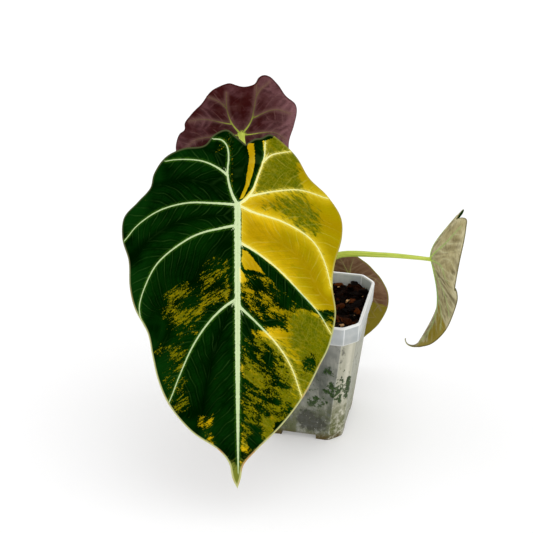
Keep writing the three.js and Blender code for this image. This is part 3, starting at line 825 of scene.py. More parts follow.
frontLeaf = {
    "attach": [-40, -50, 162.3],  # where the petiole meets the blade
    "facing": -90,  # the way that the tip points, seen from above, in degrees
    "droop": 54,  # below the horizontal
    "lean": 0,  # turned in the blade's own plane
    "length": 150,
    "halfWidth": 62,
    "bend": 30,  # degrees that the midrib has turned down by the tip
    "bendMore": 0,  # more of them, mostly near the tip
    "tipCurl": 0,  # and only at the tip
    "lobeLift": -8,  # degrees up, behind the petiole
    "lobeSoftness": 20,
    "foldLeft": [-6, -6],  # degrees up from the midrib, at the petiole and at the tip
    "foldRight": [-6, -6],
    "curlLeft": -25,  # more of them, out at the half width
    "curlRight": -25,
    "foldSoftness": 6,
    "wave": [2.2, 7, -0.6, 0.6],  # height, number and starts of the margin's waves
    "samples": 440,  # points round the outline
    "veinPaint": 1.0,  # painted width, against the width given below
    "rings": [112, 60],  # of mesh on the upper face and on the lower one
    "quiltDepth": 0.9,  # of the dip at each vein
    "quiltWidth": 4.5,
    "furrowDepth": 0.35,  # of the dips at the fine veins
    "left": [
        [4, -33.5], [-1, -38], [-6, -42], [-13, -39.5], [-18, -34], [-30, -33.5], [-40, -29.5], [-47, -20.5],
        [-49, -13.5], [-57, -6.5], [-66, 2], [-66.5, 15], [-62, 28], [-61.5, 43], [-58.5, 55], [-50, 69],
        [-47.5, 80], [-44, 94], [-38, 107], [-25, 121.5], [-10, 131], [-4.9, 138], [-3.1, 147], [-0.5, 153],
    ],
    "right": [
        [4, -33.5], [9, -37], [12, -37.5], [17, -40], [24, -36], [32, -28.5], [39, -17], [50, -8],
        [58, 3], [58.5, 14], [53.5, 31], [52.3, 42], [54.5, 58], [50.5, 76], [44.5, 87], [38.5, 98],
        [33.5, 105.5], [22.5, 118.5], [10, 130.5], [2.9, 139], [1.3, 147], [-0.5, 153],
    ],
    # each vein's points and width, the midrib first
    "veins": [
        [[[0, 0], [0, 50], [0, 100], [0, 144]], 2.1],
        [[[0, 0], [-3, -6], [-5.5, -16.5], [-5, -27], [-6, -33], [-9, -36.5], [-13, -37]], 1.5],
        [[[-5.5, -16.5], [-11, -21], [-20, -25.5], [-34, -27.5], [-40, -27]], 1.0],
        [[[0, 0], [-13, -1.5], [-28, -2.5], [-44, 0.5], [-58, 8.5], [-65, 16.5]], 1.25],
        [[
            [0, 10.5], [-10, 12.3], [-18, 13.9], [-27, 17.4], [-44, 29.5], [-52, 42.5], [-55.5, 53],
            [-54.6, 60], [-52, 65],
        ], 1.25],
        [[[0, 49], [-6, 52.5], [-14.5, 60.5], [-23.3, 73], [-31.3, 90], [-37.6, 106]], 1.25],
        [[[0, 0], [6, -5], [11, -17], [14, -27], [14.5, -35]], 1.5],
        [[[13.2, -24], [18, -28.5], [28.4, -31.6]], 0.85],
        [[[6, -5], [21, -8.5], [34, -10], [49.4, -7]], 1.05],
        [[[0, 0], [8, 3.5], [25, 8.5], [40.5, 17.5], [47.5, 28.5], [51.4, 43]], 1.25],
        [[[0, 19], [8, 23.5], [21, 33], [34, 46], [45, 58], [51.6, 69]], 1.25],
        [[[0, 52], [10, 61.5], [21.5, 74], [29, 86.5], [34.8, 103.6]], 1.25],
    ],
    "petiole": {
        "path": [[-2.9, -3.1], [-9, -8, 106], [-25, -24, 138]],
        "arrival": [-0.25, -0.75, 0.65],  # its direction at the blade
        "radii": [2.7, 2.2],  # at the foot and at the blade
    },
    # kind, share, softness of the edge and outline of each patch, laid one over another
    "patches": [
        ("gold", 1.0, 0.6, [
            (5, -34), (8, -34), (9, -29), (9, -24), (8, -18), (6, -11), (3, -4), (1, -3),
            (4, -11), (5, -19), (6, -26), (5, -31),
        ]),
        ("gold", 1.0, 0.6, [
            (13, -36), (18, -38), (25, -46), (60, -30), (70, 27), (57, 63), (51, 66), (44, 57), (39, 51),
            (31, 43), (20, 33), (10, 25), (2, 21), (2, 4), (1, -1), (8, -10), (11, -19), (14, -28),
        ]),
        ("gold", 0.0, 0.6, [(13, -42), (19, -42), (18, -37.5), (14, -36)]),
        ("gold", 0.405, 2.0, [
            (1, 34), (8, 36), (16, 37), (33, 52), (44, 62), (31, 60), (29, 66), (18, 66), (9, 61), (1, 50),
        ]),
        ("gold", 1.0, 2.0, [(2, 23), (5, 24), (12, 32), (14, 36), (8, 34), (4, 34), (2, 30)]),
        ("gold", 1.0, 0.6, [(1, 32), (5, 40), (1, 40)]),
        ("gold", 0.5, 3.0, [
            (1, 73), (8, 66), (18, 69), (24, 76), (30, 86), (32, 104), (28, 106), (14, 102), (1, 95),
        ]),
        ("gold", 0.44, 3.0, [
            (1, 95), (14, 102), (28, 106), (32, 104), (34, 110), (20, 117), (13, 125), (1, 119),
        ]),
        ("gold", 1.0, 6.0, [
            (8, 65), (17, 66), (27, 67), (29, 60), (35, 56), (45, 56), (55, 61), (66, 76), (54, 100),
            (40, 112), (31, 106), (30, 90), (25, 79), (17, 70),
        ]),
        ("gold", 0.35, 3.0, [(42, 55), (56, 56), (55, 66), (47, 63)]),
        ("gold", 0.28, 2.5, [(13, 73), (17, 73), (19, 84), (15, 83)]),
        ("gold", 0.3, 2.5, [(2, 69), (7, 68), (12, 77), (9, 80)]),
        ("gold", 0.47, 9.0, [(33, 78), (45, 78), (43, 92), (34, 92)]),
        ("gold", 0.9, 4.0, [(13, 112), (18, 112), (19, 122), (14, 127)]),
        ("gold", 0.56, 3.0, [(1, 119), (6, 122), (6, 130), (1, 134)]),
        ("gold", 0.42, 1.0, [(0, 133), (13, 126), (16, 128), (1, 142)]),
        ("gold", 0.42, 5.0, [(-20, 30), (-12, 26), (-3, 27), (-3, 51), (-21, 56), (-22, 42)]),
        ("gold", 0.395, 5.0, [(-39, 42), (-28, 38), (-20, 42), (-17, 58), (-22, 68), (-42, 70), (-44, 53)]),
        ("gold", 0.32, 6.0, [(-45, 66), (-28, 66), (-25, 112), (-36, 112), (-46, 90)]),
        ("gold", 0.42, 4.0, [(-37, 74), (-28, 73), (-29, 81), (-37, 82)]),
        ("gold", 0.42, 4.0, [(-38, 83), (-31, 82), (-31, 90), (-38, 90)]),
        ("gold", 0.42, 4.0, [(-32, 94), (-28, 93), (-28, 99), (-32, 100)]),
        ("gold", 0.4, 4.0, [(-34, 103), (-26, 102), (-25, 111), (-32, 112)]),
        ("gold", 0.53, 4.0, [(-21, 111), (-12, 109), (-12, 129), (-17, 128), (-22, 117)]),
        ("gold", 0.25, 4.0, [(-12, -41), (0, -41), (0, -28), (-12, -28)]),
        ("gold", 0.36, 2.0, [(-5, -33), (-2, -33), (-2, -8), (-4, -8)]),
        ("olive", 0.27, 12.0, [(2, -40), (60, -40), (70, 40), (40, 60), (2, 10)]),
        ("olive", 0.8, 6.0, [
            (13, -30), (17, -44), (30, -44), (33, -30), (32, -18), (37, -9), (24, -9), (9, -7),
        ]),
        ("olive", 0.5, 5.0, [(12, -3), (20, -5), (35, -6), (44, 0), (46, 12), (36, 14), (23, 5), (12, 1)]),
        ("olive", 0.62, 9.0, [(22, -4), (34, -6), (43, 2), (44, 13), (36, 12), (28, 5)]),
        ("olive", 0.74, 8.0, [
            (26, 58), (36, 53), (51, 62), (62, 74), (56, 90), (42, 106), (35, 94), (32, 82), (27, 72),
        ]),
        ("olive", 0.64, 6.0, [(1, 66), (24, 70), (40, 96), (34, 112), (10, 130), (1, 130)]),
        ("olive", 0.6, 4.0, [(-50, 60), (-22, 70), (-20, 112), (-40, 112)]),
        ("olive", 0.52, 4.0, [(-44, 36), (0, 24), (0, 56), (-44, 70)]),
        ("patch", 0.9, 6.0, [(4, -40), (70, -40), (70, 110), (30, 110), (4, 60)]),
    ],
}

frontUnder = {
    "inner": tone(88, 46, 46),
    "outer": tone(112, 78, 70),
    "outerWidth": 14.0,  # of the outer colour along the margin
    # darker colour: for the grain, and for painted shade in the cells between fine veins and in the creases
    "shade": tone(66, 32, 36),
    "patch": tone(140, 122, 58),
    "patchStrength": 0.9,
    "fine": tone(132, 122, 84),
    "glow": tone(122, 110, 84),
    "glowWidth": 2.0,  # beside the veins
    "veinStart": tone(178, 196, 96),
    "vein": tone(146, 154, 84),
    "veinEnd": tone(124, 112, 80),
    "veinReach": 110.0,  # the veins reach their end colour this far from the petiole
    "rimWidth": 0.7,
    "rim": tone(180, 192, 142),
    "fineWidth": 0.05,
    "fineStrength": 0.5,
    "sideways": 0.0,  # more of the outer colour for each millimetre to the right
    "tipwards": 0.0,  # and towards the tip
    # creaseShadeAndLight: strength of the painted shade and painted light of the creases
    "creaseShadeAndLight": 0.3,  # strength of the dark and pale ones
}

addLeaf("front", frontLeaf, frontUnder)

# back leaf, its burgundy underside towards the camera

backLeaf = {
    "attach": [-39.1, 12, 178.9],
    "facing": 88,
    "droop": 75,
    "lean": -3,
    "length": 112,
    "halfWidth": 42,
    "bend": 6,
    "bendMore": 0,
    "tipCurl": 0,
    "lobeLift": 0,
    "lobeSoftness": 15,
    "foldLeft": [32, 32],
    "foldRight": [24, 24],
    "curlLeft": 14,
    "curlRight": 6,
    "foldSoftness": 5,
    "wave": [1.6, 7, -0.8, 0.8],
    "samples": 320,
    "veinPaint": 0.9,
    "rings": [56, 84],
    "quiltDepth": 0.6,
    "quiltWidth": 3.5,
    "furrowDepth": 0.3,
    "left": [
        [0, -32], [-4, -30.5], [-10.5, -30.5], [-13, -33.4], [-16, -33.8], [-20, -31.4], [-25, -24],
        [-30, -14], [-37, -6], [-38, -1], [-35, 9], [-30.5, 18], [-31, 32], [-32, 45], [-30, 58], [-25, 71],
        [-17, 84], [-8, 95], [-3, 101.5], [-1.2, 108], [0, 113],
    ],
    "right": [
        [0, -32], [4, -33.2], [12.5, -28.5], [17, -24.5], [24, -14.5], [32, -5], [36.5, 1], [37, 5],
        [41.5, 10], [46, 23], [45, 34], [41, 46], [35, 60], [27, 74], [18, 86], [8, 95.5],
        [3, 101.5], [1.2, 108], [0, 113],
    ],
    "veins": [
        [[[0, 0], [0, 35], [0, 70], [0, 105]], 1.6],
        [[[0, 0], [4.5, -8], [6.5, -17], [6, -27]], 1.2],
        [[[6.5, -17], [10.5, -20.5], [19, -22]], 0.7],
        [[[4.5, -7], [12, -7], [21.5, -6], [33, -1.5]], 0.8],
        [[[0, 0], [10, 2], [19, 5], [29, 10], [40, 22]], 0.9],
        [[[0, 20], [12, 24], [24, 34], [36, 54]], 0.9],
        [[[0, 46], [9, 52], [18, 64], [22, 76]], 0.8],
        [[[0, 0], [-5.5, -8], [-8, -16], [-10, -24], [-10.8, -31]], 1.2],
        [[[-9.8, -23], [-13, -26.5], [-19, -28.5]], 0.7],
        [[[-7, -10], [-15.5, -10.5], [-23, -8.5], [-33, -1.5]], 0.8],
        [[[0, 0], [-12, 2], [-20, 6], [-28, 15]], 0.9],
        [[[0, 18], [-10, 22], [-20, 32], [-29, 50]], 0.9],
        [[[0, 44], [-8, 50], [-16, 61], [-21, 73]], 0.8],
    ],
    "petiole": {
        "path": [[-3, 2.9], [-8, 5, 112], [-22, 2.5, 146], [-35, 1.5, 166]],
        "arrival": [-0.1, 0.85, 0.5],
        "radii": [2.7, 1.7],
    },
    "patches": [
        ("gold", 0.5, 4.0, [(3, 16), (40, 20), (34, 60), (16, 84), (2, 60)]),
        ("gold", 0.3, 4.0, [(-4, 40), (-30, 30), (-30, 60), (-12, 90), (-2, 80)]),
        ("gold", 0.36, 3.0, [(4, -33), (20, -30), (30, -10), (10, -10)]),
    ],
}

backUnder = {
    "inner": tone(60, 14, 14),
    "outer": tone(130, 88, 92),
    "outerWidth": 17.0,
    "shade": tone(46, 10, 10),
    "patch": tone(120, 96, 60),
    "patchStrength": 0.8,
    "fine": tone(132, 96, 88),
    "glow": tone(126, 92, 84),
    "glowWidth": 3.0,
    "veinStart": tone(200, 220, 84),
    "vein": tone(108, 104, 48),
    "veinEnd": tone(112, 78, 62),
    "veinReach": 40.0,
    "rimWidth": 1.0,
    "rim": tone(62, 16, 14),
    "fineWidth": 0.05,
    "fineStrength": 0.5,
    "sideways": -0.012,
    "tipwards": 0.014,
    "creaseShadeAndLight": 0.2,
}

addLeaf("back", backLeaf, backUnder)

# right leaf, seen nearly edge on

rightLeaf = {
    "attach": [67.8, -20, 116.1],
    "facing": -3,
    "droop": 72,
    "lean": 8,
    "length": 72,
    "halfWidth": 32,
    "bend": 14,
    "bendMore": 60,
    "tipCurl": 100,
    "lobeLift": 48,
    "lobeSoftness": 4,
    "foldLeft": [12.5, 14],
    "foldRight": [25, 6],
    "curlLeft": 4,
    "curlRight": 6,
    "foldSoftness": 3,
    "wave": [2.0, 3, -2.3, -2.3],
    "samples": 280,
    "veinPaint": 1.2,
    "rings": [54, 70],
    "quiltDepth": 0.45,
    "quiltWidth": 3.0,
    "furrowDepth": 0.25,
    "left": [
        [0, -29.5], [-3, -33], [-8, -35.5], [-12, -33], [-22, -25], [-31, -15], [-34, -8], [-34, 0],
        [-31, 8], [-27, 16], [-19, 33], [-12, 47], [-8, 55], [-3.5, 61.5], [-1.2, 65], [0, 75],
    ],
    "right": [
        [0, -29.5], [2.5, -32], [7, -33.5], [12, -31], [19.5, -22], [23, -12], [24, -2], [23, 7],
        [21.5, 16], [18, 31], [13, 45], [8, 55], [3.5, 61.5], [1.2, 65], [0, 75],
    ],
    "veins": [
        [[[0, 0], [0, 20], [0, 40], [0, 61]], 0.9],
        [[[0, 0], [-4, -7], [-7, -15.5], [-8.5, -30]], 0.9],
        [[[0, 0], [-8, -4], [-17, -7], [-29, -2]], 0.7],
        [[[0, 1], [-7, 3.5], [-17, 15.5], [-20, 26]], 0.7],
        [[[0, 22], [-5, 26], [-9, 33], [-11, 41]], 0.6],
        [[[0, 0], [3, -7], [5, -16], [6.5, -29]], 0.9],
        [[[0, 0], [9, -4], [18, -6], [27, -3]], 0.7],
        [[[0, 1], [7, 4], [13, 10], [21, 22]], 0.7],
        [[[0, 22], [6, 27], [10, 34], [12, 42]], 0.6],
    ],
    "petiole": {
        "path": [[3.5, -2.1], [6, -2.5, 100], [15, -4, 110.5], [40, -11, 114.6]],
        "arrival": [0.95, -0.3, 0.02],
        "radii": [2.4, 1.1],
    },
    "patches": [
        ("gold", 0.4, 4.0, [(-28, -10), (-2, -4), (-2, 40), (-24, 20)]),
        ("gold", 0.3, 4.0, [(2, 10), (24, 0), (16, 40), (4, 60)]),
        ("patch", 0.75, 10.0, [(-36, 38), (0, 30), (0, 75), (-30, 75)]),
    ],
}

rightUnder = {
    "inner": tone(176, 164, 118),
    "outer": tone(214, 206, 166),
    "outerWidth": 6.0,
    "shade": tone(80, 66, 32),
    "patch": tone(146, 128, 26),
    "patchStrength": 0.85,
    "fine": tone(206, 208, 166),
    "glow": tone(172, 178, 126),
    "glowWidth": 2.2,
    "veinStart": tone(176, 210, 84),
    "vein": tone(148, 190, 84),
    "veinEnd": tone(154, 180, 104),
    "veinReach": 44.0,
    "rimWidth": 0.7,
    "rim": tone(92, 84, 40),
    "fineWidth": 0.07,
    "fineStrength": 0.75,
    "sideways": 0.0,
    "tipwards": 0.0,
    "creaseShadeAndLight": 0.42,
}

addLeaf("right", rightLeaf, rightUnder)

# low leaf behind the pot

lowLeaf = {
    "attach": [27.1, 52, 70],
    "facing": 88,
    "droop": 75,
    "lean": -7,
    "length": 63,
    "halfWidth": 26,
    "bend": 12,
    "bendMore": 10,
    "tipCurl": 0,
    "lobeLift": 0,
    "lobeSoftness": 10,
    "foldLeft": [5, 5],
    "foldRight": [5, 5],
    "curlLeft": 5,
    "curlRight": 5,
    "foldSoftness": 4,
    "wave": [1.0, 7, -0.5, 0.5],
    "samples": 240,
    "veinPaint": 0.9,
    "rings": [44, 60],
    "quiltDepth": 0.4,
    "quiltWidth": 2.6,
    "furrowDepth": 0.2,
    "left": [
        [0, -15.6], [-2, -16.7], [-5, -15.6], [-8, -12.8], [-15.5, -2], [-20.5, 9], [-23.6, 20], [-22.2, 31],
        [-16, 42], [-11, 46.5], [-4.5, 51.5], [-1.6, 56], [0, 62],
    ],
    "right": [
        [0, -15.6], [2.5, -17], [6, -17], [11, -12], [17, -3], [21, 9], [23, 19], [22, 30],
        [18, 40], [12, 47], [4.5, 52], [1.6, 56], [0, 62],
    ],
    "veins": [
        [[[0, 0], [0, 26], [0, 53]], 1.1],
        [[[0, 0], [2, -8], [4, -14]], 0.8],
        [[[0, 0], [-1.8, -8], [-4, -13.5]], 0.8],
        [[[0, 0], [7, 1], [15, 5], [19, 11]], 0.6],
        [[[0, 8], [7, 13], [14, 22], [18, 32]], 0.6],
        [[[0, 24], [5, 30], [9, 40]], 0.6],
        [[[0, 0], [-7, 1], [-15, 5], [-19, 11]], 0.6],
        [[[0, 8], [-7, 13], [-14, 22], [-18, 32]], 0.6],
        [[[0, 24], [-5, 30], [-9, 40]], 0.6],
    ],
    "petiole": {
        "path": [[2.8, 3.8], [-1, 18, 99], [-1, 34, 102], [4, 43, 92], [10, 46, 78], [18, 46.5, 71.5]],
        "arrival": [0.55, 0.83, -0.05],
        "radii": [2.3, 1.4],
    },
    "patches": [
        ("gold", 0.45, 3.0, [(-20, 10), (-2, 14), (-2, 46), (-16, 36)]),
        ("patch", 1.0, 4.0, [(-28, 33), (-14, 24), (0, 18), (0, 64), (-28, 64)]),
    ],
}

lowUnder = {
    "inner": tone(112, 82, 56),
    "outer": tone(132, 104, 80),
    "outerWidth": 9.0,
    "shade": tone(84, 54, 38),
    "patch": tone(124, 112, 22),
    "patchStrength": 0.9,
    "fine": tone(150, 128, 98),
    "glow": tone(132, 112, 80),
    "glowWidth": 1.6,
    "veinStart": tone(150, 150, 84),
    "vein": tone(146, 134, 90),
    "veinEnd": tone(134, 122, 70),
    "veinReach": 34.0,
    "rimWidth": 0.9,
    "rim": tone(124, 118, 40),
    "fineWidth": 0.07,
    "fineStrength": 0.7,
    "sideways": 0.0,
    "tipwards": 0.0,
    "creaseShadeAndLight": 0.35,
}

addLeaf("low", lowLeaf, lowUnder)

# stem with the rings that old leaves left

stemShape = {
    "radius": 7.0,
    "foot": 42.0,
    "top": 81.0,
    "shoulder": 2,  # the ends are rounded over this height
    "rings": 7,
    "ringDepth": 0.5,
    "swell": 0.35,
    "ragged": 0.15,
    "sides": 64,
    "levels": 150,
}


def stemFinish():
    finish = Finish("stemSkin", {"Specular IOR Level": 0.3})
    bark = finish.field("bark")
    ring = finish.parts(bark)[2]
    fibre = finish.noise(bark, (0.9, 0.9, 9.0), 4.0)
    papery = finish.noise(bark, (3.0, 3.0, 1.2), 4.0)
    colour = finish.coats(
        tone(98, 110, 44),
        (fibre.rise(0.35, 0.65), tone(136, 142, 66)),
        (papery.rise(0.48, 0.62) * 0.8, tone(122, 88, 54)),
        (abs(ring.fraction() - 0.5).rise(0.38, 0.5) * 0.8, tone(66, 46, 30)),
    )
    return finish.shade({
        "Base Color": colour,
        "Roughness": 0.55 + 0.3 * papery,
        "Normal": finish.bump(fibre * 0.2 + papery * 0.3),
    })


def addStem():
    radius, foot, top, end = (stemShape[key] for key in ("radius", "foot", "top", "shoulder"))
    pitch = (top - foot - 2 * end) / stemShape["rings"]
    angles = anglesAround(stemShape["sides"])
    circle = np.stack([np.cos(angles), np.sin(angles)], -1)
    rings, bark = [], []
    for z in np.linspace(foot, top, stemShape["levels"]):
        turns = (z - foot - end) / pitch
        groove = stemShape["ringDepth"] * math.exp(-(((turns % 1 - 0.9) / 0.08) ** 2))
        shoulder = min(1.0, math.sqrt(max(0.0, (top - z) / end)) * 0.12 + 0.88)
        shoulder *= min(1.0, 0.8 + 0.2 * (z - foot) / end)
        ragged = np.array([noise.noise((2 * math.cos(turn), 2 * math.sin(turn), z / 4)) for turn in angles])
        radii = (radius - 0.4 - groove + stemShape["swell"] * (turns % 1)) * shoulder
        radii = np.minimum(radii - stemShape["ragged"] * ragged, radius)
        rings.append(np.column_stack([circle * radii[:, None], np.full(len(angles), z)]))
        bark.append(np.column_stack([circle * radius, turns + 0.08 * ragged]))
    faces = loftFaces(len(rings), len(angles))
    shell = (np.vstack(rings), faces, [0] * len(faces), {"bark": np.vstack(bark)})
    addPiece("stemBase", [shell], [stemFinish()], "stem_base")


addStem()

# soil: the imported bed, roughened, with bark chips and crumbs over it

soilBed = {
    "seed": 7,
    "chips": 460,
    "chipSize": [1.5, 4.6],  # half lengths
    "dents": 0.55,
    "crumbs": 2200,
    "crumbSize": [0.35, 0.95],
    "patience": 4,  # tries for each lump wanted
    "top": 81.0,
    "shoulder": 70.0,  # the rough top lies above this height
    "bedEdge": 1.2,  # longer edges there are halved, twice over
    "reach": 33.0,  # lumps fall within this of the middle
    "drop": 100.0,  # from this height
    "tilt": 0.4,
    "lean": 0.4,  # towards the slope under the lump
    "lift": 0.35,  # of its half height
    "hollows": [0.9, 1.7, 0.25],  # depth and size of those in the bed, and the least depth
    "innerHalf": [[71.2, 31.9], [72.2, 32.6], [82.0, 33.2]],  # height, and half the pot's inner width
    "cornerCut": 7.0,
    "stemClearance": 7.6,
    # place across and along the pot, half length, tone of the chips that stand out
    "markedChips": [
        (12.4, 27.6, 3.4, 0.84),
        (8.5, 29.0, 2.6, 0.8),
        (17.5, 29.5, 3.0, 0.1),
        (22.0, 28.5, 3.2, 0.3),
        (26.0, 19.5, 3.8, 0.02),
        (27.6, -6.1, 2.6, 0.98),
        (21.2, 12.3, 2.2, 0.96),
        (23.3, -22.9, 2.4, 0.95),
        (17.0, 2.0, 4.2, 0.72),
        (24.0, -14.0, 4.0, 0.66),
    ],
}


def barkFinish():
    finish = Finish("barkSoil", {"Specular IOR Level": 0.02})
    chip, grainPlace = finish.field("chip"), finish.field("grain")
    chipTone, damp, _ = finish.parts(chip)
    fibre = finish.noise(grainPlace, (3.0, 0.5, 0.5), 4.0, 0.65)
    flake = finish.noise(grainPlace, (1.6, 1.6, 1.6), 4.0)
    colour = finish.coats(
        tone(8, 3, 1),
        (chipTone.rise(0.3, 0.6), tone(32, 13, 3)),
        (chipTone.rise(0.55, 0.85), tone(82, 38, 8)),
        (chipTone.rise(0.88, 0.97), tone(206, 160, 112)),
        (fibre.rise(0.48, 0.7) * 0.65, tone(10, 4, 2)),
        (flake.rise(0.56, 0.72) * 0.3, tone(64, 28, 5)),
    )
    return finish.shade({
        "Base Color": colour,
        "Roughness": 0.55 + 0.4 * flake - 0.2 * damp,
        "Normal": finish.bump(fibre * 0.6 + flake * 0.4),
    })


def insidePot(x, y, z):  # in the pot's own square
    heights, halves = zip(*soilBed["innerHalf"])
    half = np.interp(z, heights, halves)
    x, y = np.abs(x), np.abs(y)
    return (x < half) & (y < half) & (x + y < 2 * half - soilBed["cornerCut"])


def turned(points, degrees):  # about the upright axis
    cosine, sine = math.cos(math.radians(degrees)), math.sin(math.radians(degrees))
    return points @ np.array([[cosine, sine, 0], [-sine, cosine, 0], [0, 0, 1]])


def meshLists(work):  # its points and faces, and the mesh is let go
    points = np.array([vertex.co[:] for vertex in work.verts])
    faces = [tuple(vertex.index for vertex in face.verts) for face in work.faces]
    work.free()
    return points, faces


def roundMesh(subdivisions):
    work = bmesh.new()
    bmesh.ops.create_icosphere(work, subdivisions=subdivisions, radius=1.0)
    return meshLists(work)


def finerBed():  # the solid's own mesh, with short edges on top
    work = bmesh.new()
    work.from_mesh(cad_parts["soil"].data)
    bmesh.ops.remove_doubles(work, verts=work.verts, dist=1e-6)
    bmesh.ops.triangulate(work, faces=work.faces)
    for _ in range(2):
        edges = [edge for edge in work.edges if edge.calc_length() > soilBed["bedEdge"] * mm]
        edges = [edge for edge in edges if min(end.co.z for end in edge.verts) > soilBed["shoulder"] * mm]
        bmesh.ops.subdivide_edges(work, edges=edges, cuts=1)
        bmesh.ops.triangulate(work, faces=work.faces)
    points, faces = meshLists(work)
    return (points - plantFoot) / mm, faces


def bedShell(points, faces):
    depth, size, least = soilBed["hollows"]
    rough = points.copy()
    for k, point in enumerate(points):
        if point[2] > soilBed["shoulder"] + 1:
            rough[k, 2] -= depth * abs(noise.noise(Vector(point) / size)) + least
    tones = np.array([0.25 + 0.3 * noise.noise(Vector(point) / 5) for point in points])
    chipField = np.column_stack([tones, 0.5 + 0 * tones, 0 * tones])
    return rough, faces, [0] * len(faces), {"chip": chipField, "grain": points}


def addSoil():
    rng = random.Random(soilBed["seed"])
    bedPoints, bedFaces = finerBed()
    surface = BVHTree.FromPolygons(bedPoints.tolist(), bedFaces)
    shells = [bedShell(bedPoints, bedFaces)]

    def addLump(template, across, along, size, chipTone, boxy, sizes):
        place = turned(np.array([[across, along, soilBed["drop"]]]), potTurn)[0]
        hit, slant, _, _ = surface.ray_cast(Vector(place), Vector((0, 0, -1)))
        if hit is None or hit.z < soilBed["shoulder"]:
            return False
        ball, faces = template
        local = np.sign(ball) * np.abs(ball) ** boxy
        shift = Vector((size, across, along))
        dents = np.array([noise.noise(Vector(point) * 1.8 + shift) for point in local])
        local = local * (1 + soilBed["dents"] * dents)[:, None]
        local = local * sizes * size
        upright = Vector((rng.gauss(0, soilBed["tilt"]), rng.gauss(0, soilBed["tilt"]), 1)).normalized()
        tilt = upright.lerp(slant, soilBed["lean"]).normalized()
        spin = Matrix.Rotation(rng.uniform(0, 2 * math.pi), 3, "Z")
        spin = tilt.to_track_quat("Z", "X").to_matrix() @ spin
        points = local @ np.array(spin).T + np.array(hit)
        points[:, 2] += sizes[2] * size * soilBed["lift"]
        clearOfStem = np.hypot(points[:, 0], points[:, 1]).min() > soilBed["stemClearance"]
        inside = insidePot(*turned(points, -potTurn).T).all()
        if points[:, 2].max() > soilBed["top"] or not clearOfStem or not inside:
            return False
        chipRows = np.tile([chipTone, rng.random(), 0.0], (len(points), 1))
        shift = np.array([rng.uniform(-50, 50) for _ in range(3)])
        shells.append((points, faces, [0] * len(faces), {"chip": chipRows, "grain": local + shift}))
        return True

    def drawSpot():
        return [rng.uniform(-soilBed["reach"], soilBed["reach"]) for _ in range(2)]

    def drawChip():
        size = rng.uniform(*soilBed["chipSize"]) * rng.uniform(0.6, 1)
        sizes = np.array([1, rng.uniform(0.42, 0.75), rng.uniform(0.22, 0.42)])
        chipTone = min(0.86, rng.random() ** 2.6)
        return *drawSpot(), size, chipTone, 0.62, sizes

    def drawCrumb():
        size = rng.uniform(*soilBed["crumbSize"])
        sizes = np.array([1, rng.uniform(0.6, 0.9), rng.uniform(0.5, 0.8)])
        return *drawSpot(), size, rng.random() ** 1.6, 0.9, sizes

    def scatter(template, wanted, draw):
        count = tries = 0
        while count < wanted and tries < soilBed["patience"] * wanted:
            tries += 1
            count += addLump(template, *draw())
        return count

    chip, crumb = roundMesh(2), roundMesh(1)
    for marked in soilBed["markedChips"]:
        addLump(chip, *marked, 0.6, np.array([1, 0.62, 0.4]))
    chips = scatter(chip, soilBed["chips"], drawChip)
    crumbs = scatter(crumb, soilBed["crumbs"], drawCrumb)
    print(f"soil: {chips} chips, {crumbs} crumbs")
    addPiece("soilBark", shells, [barkFinish()], "soil", smooth=False)


addSoil()

# pot of frosted clear plastic

potWall = {
    "round": 0.35,  # of the edges
    "segments": 3,
    "roundAbove": 28,  # degrees, and edges this sharp are rounded
    "sharpAbove": 40,  # and those left sharp
    "soilLine": 76.0,
    "collar": 71.0,
    # algae on the front wall: place across, height, reach across and up
    "algae": [(24, 36, 9, 10), (19, 52, 5, 4), (11, 29, 6, 5), (30, 40, 2.5, 7)],
    "stain": (9, 14, 11, 9),  # in the same terms
}


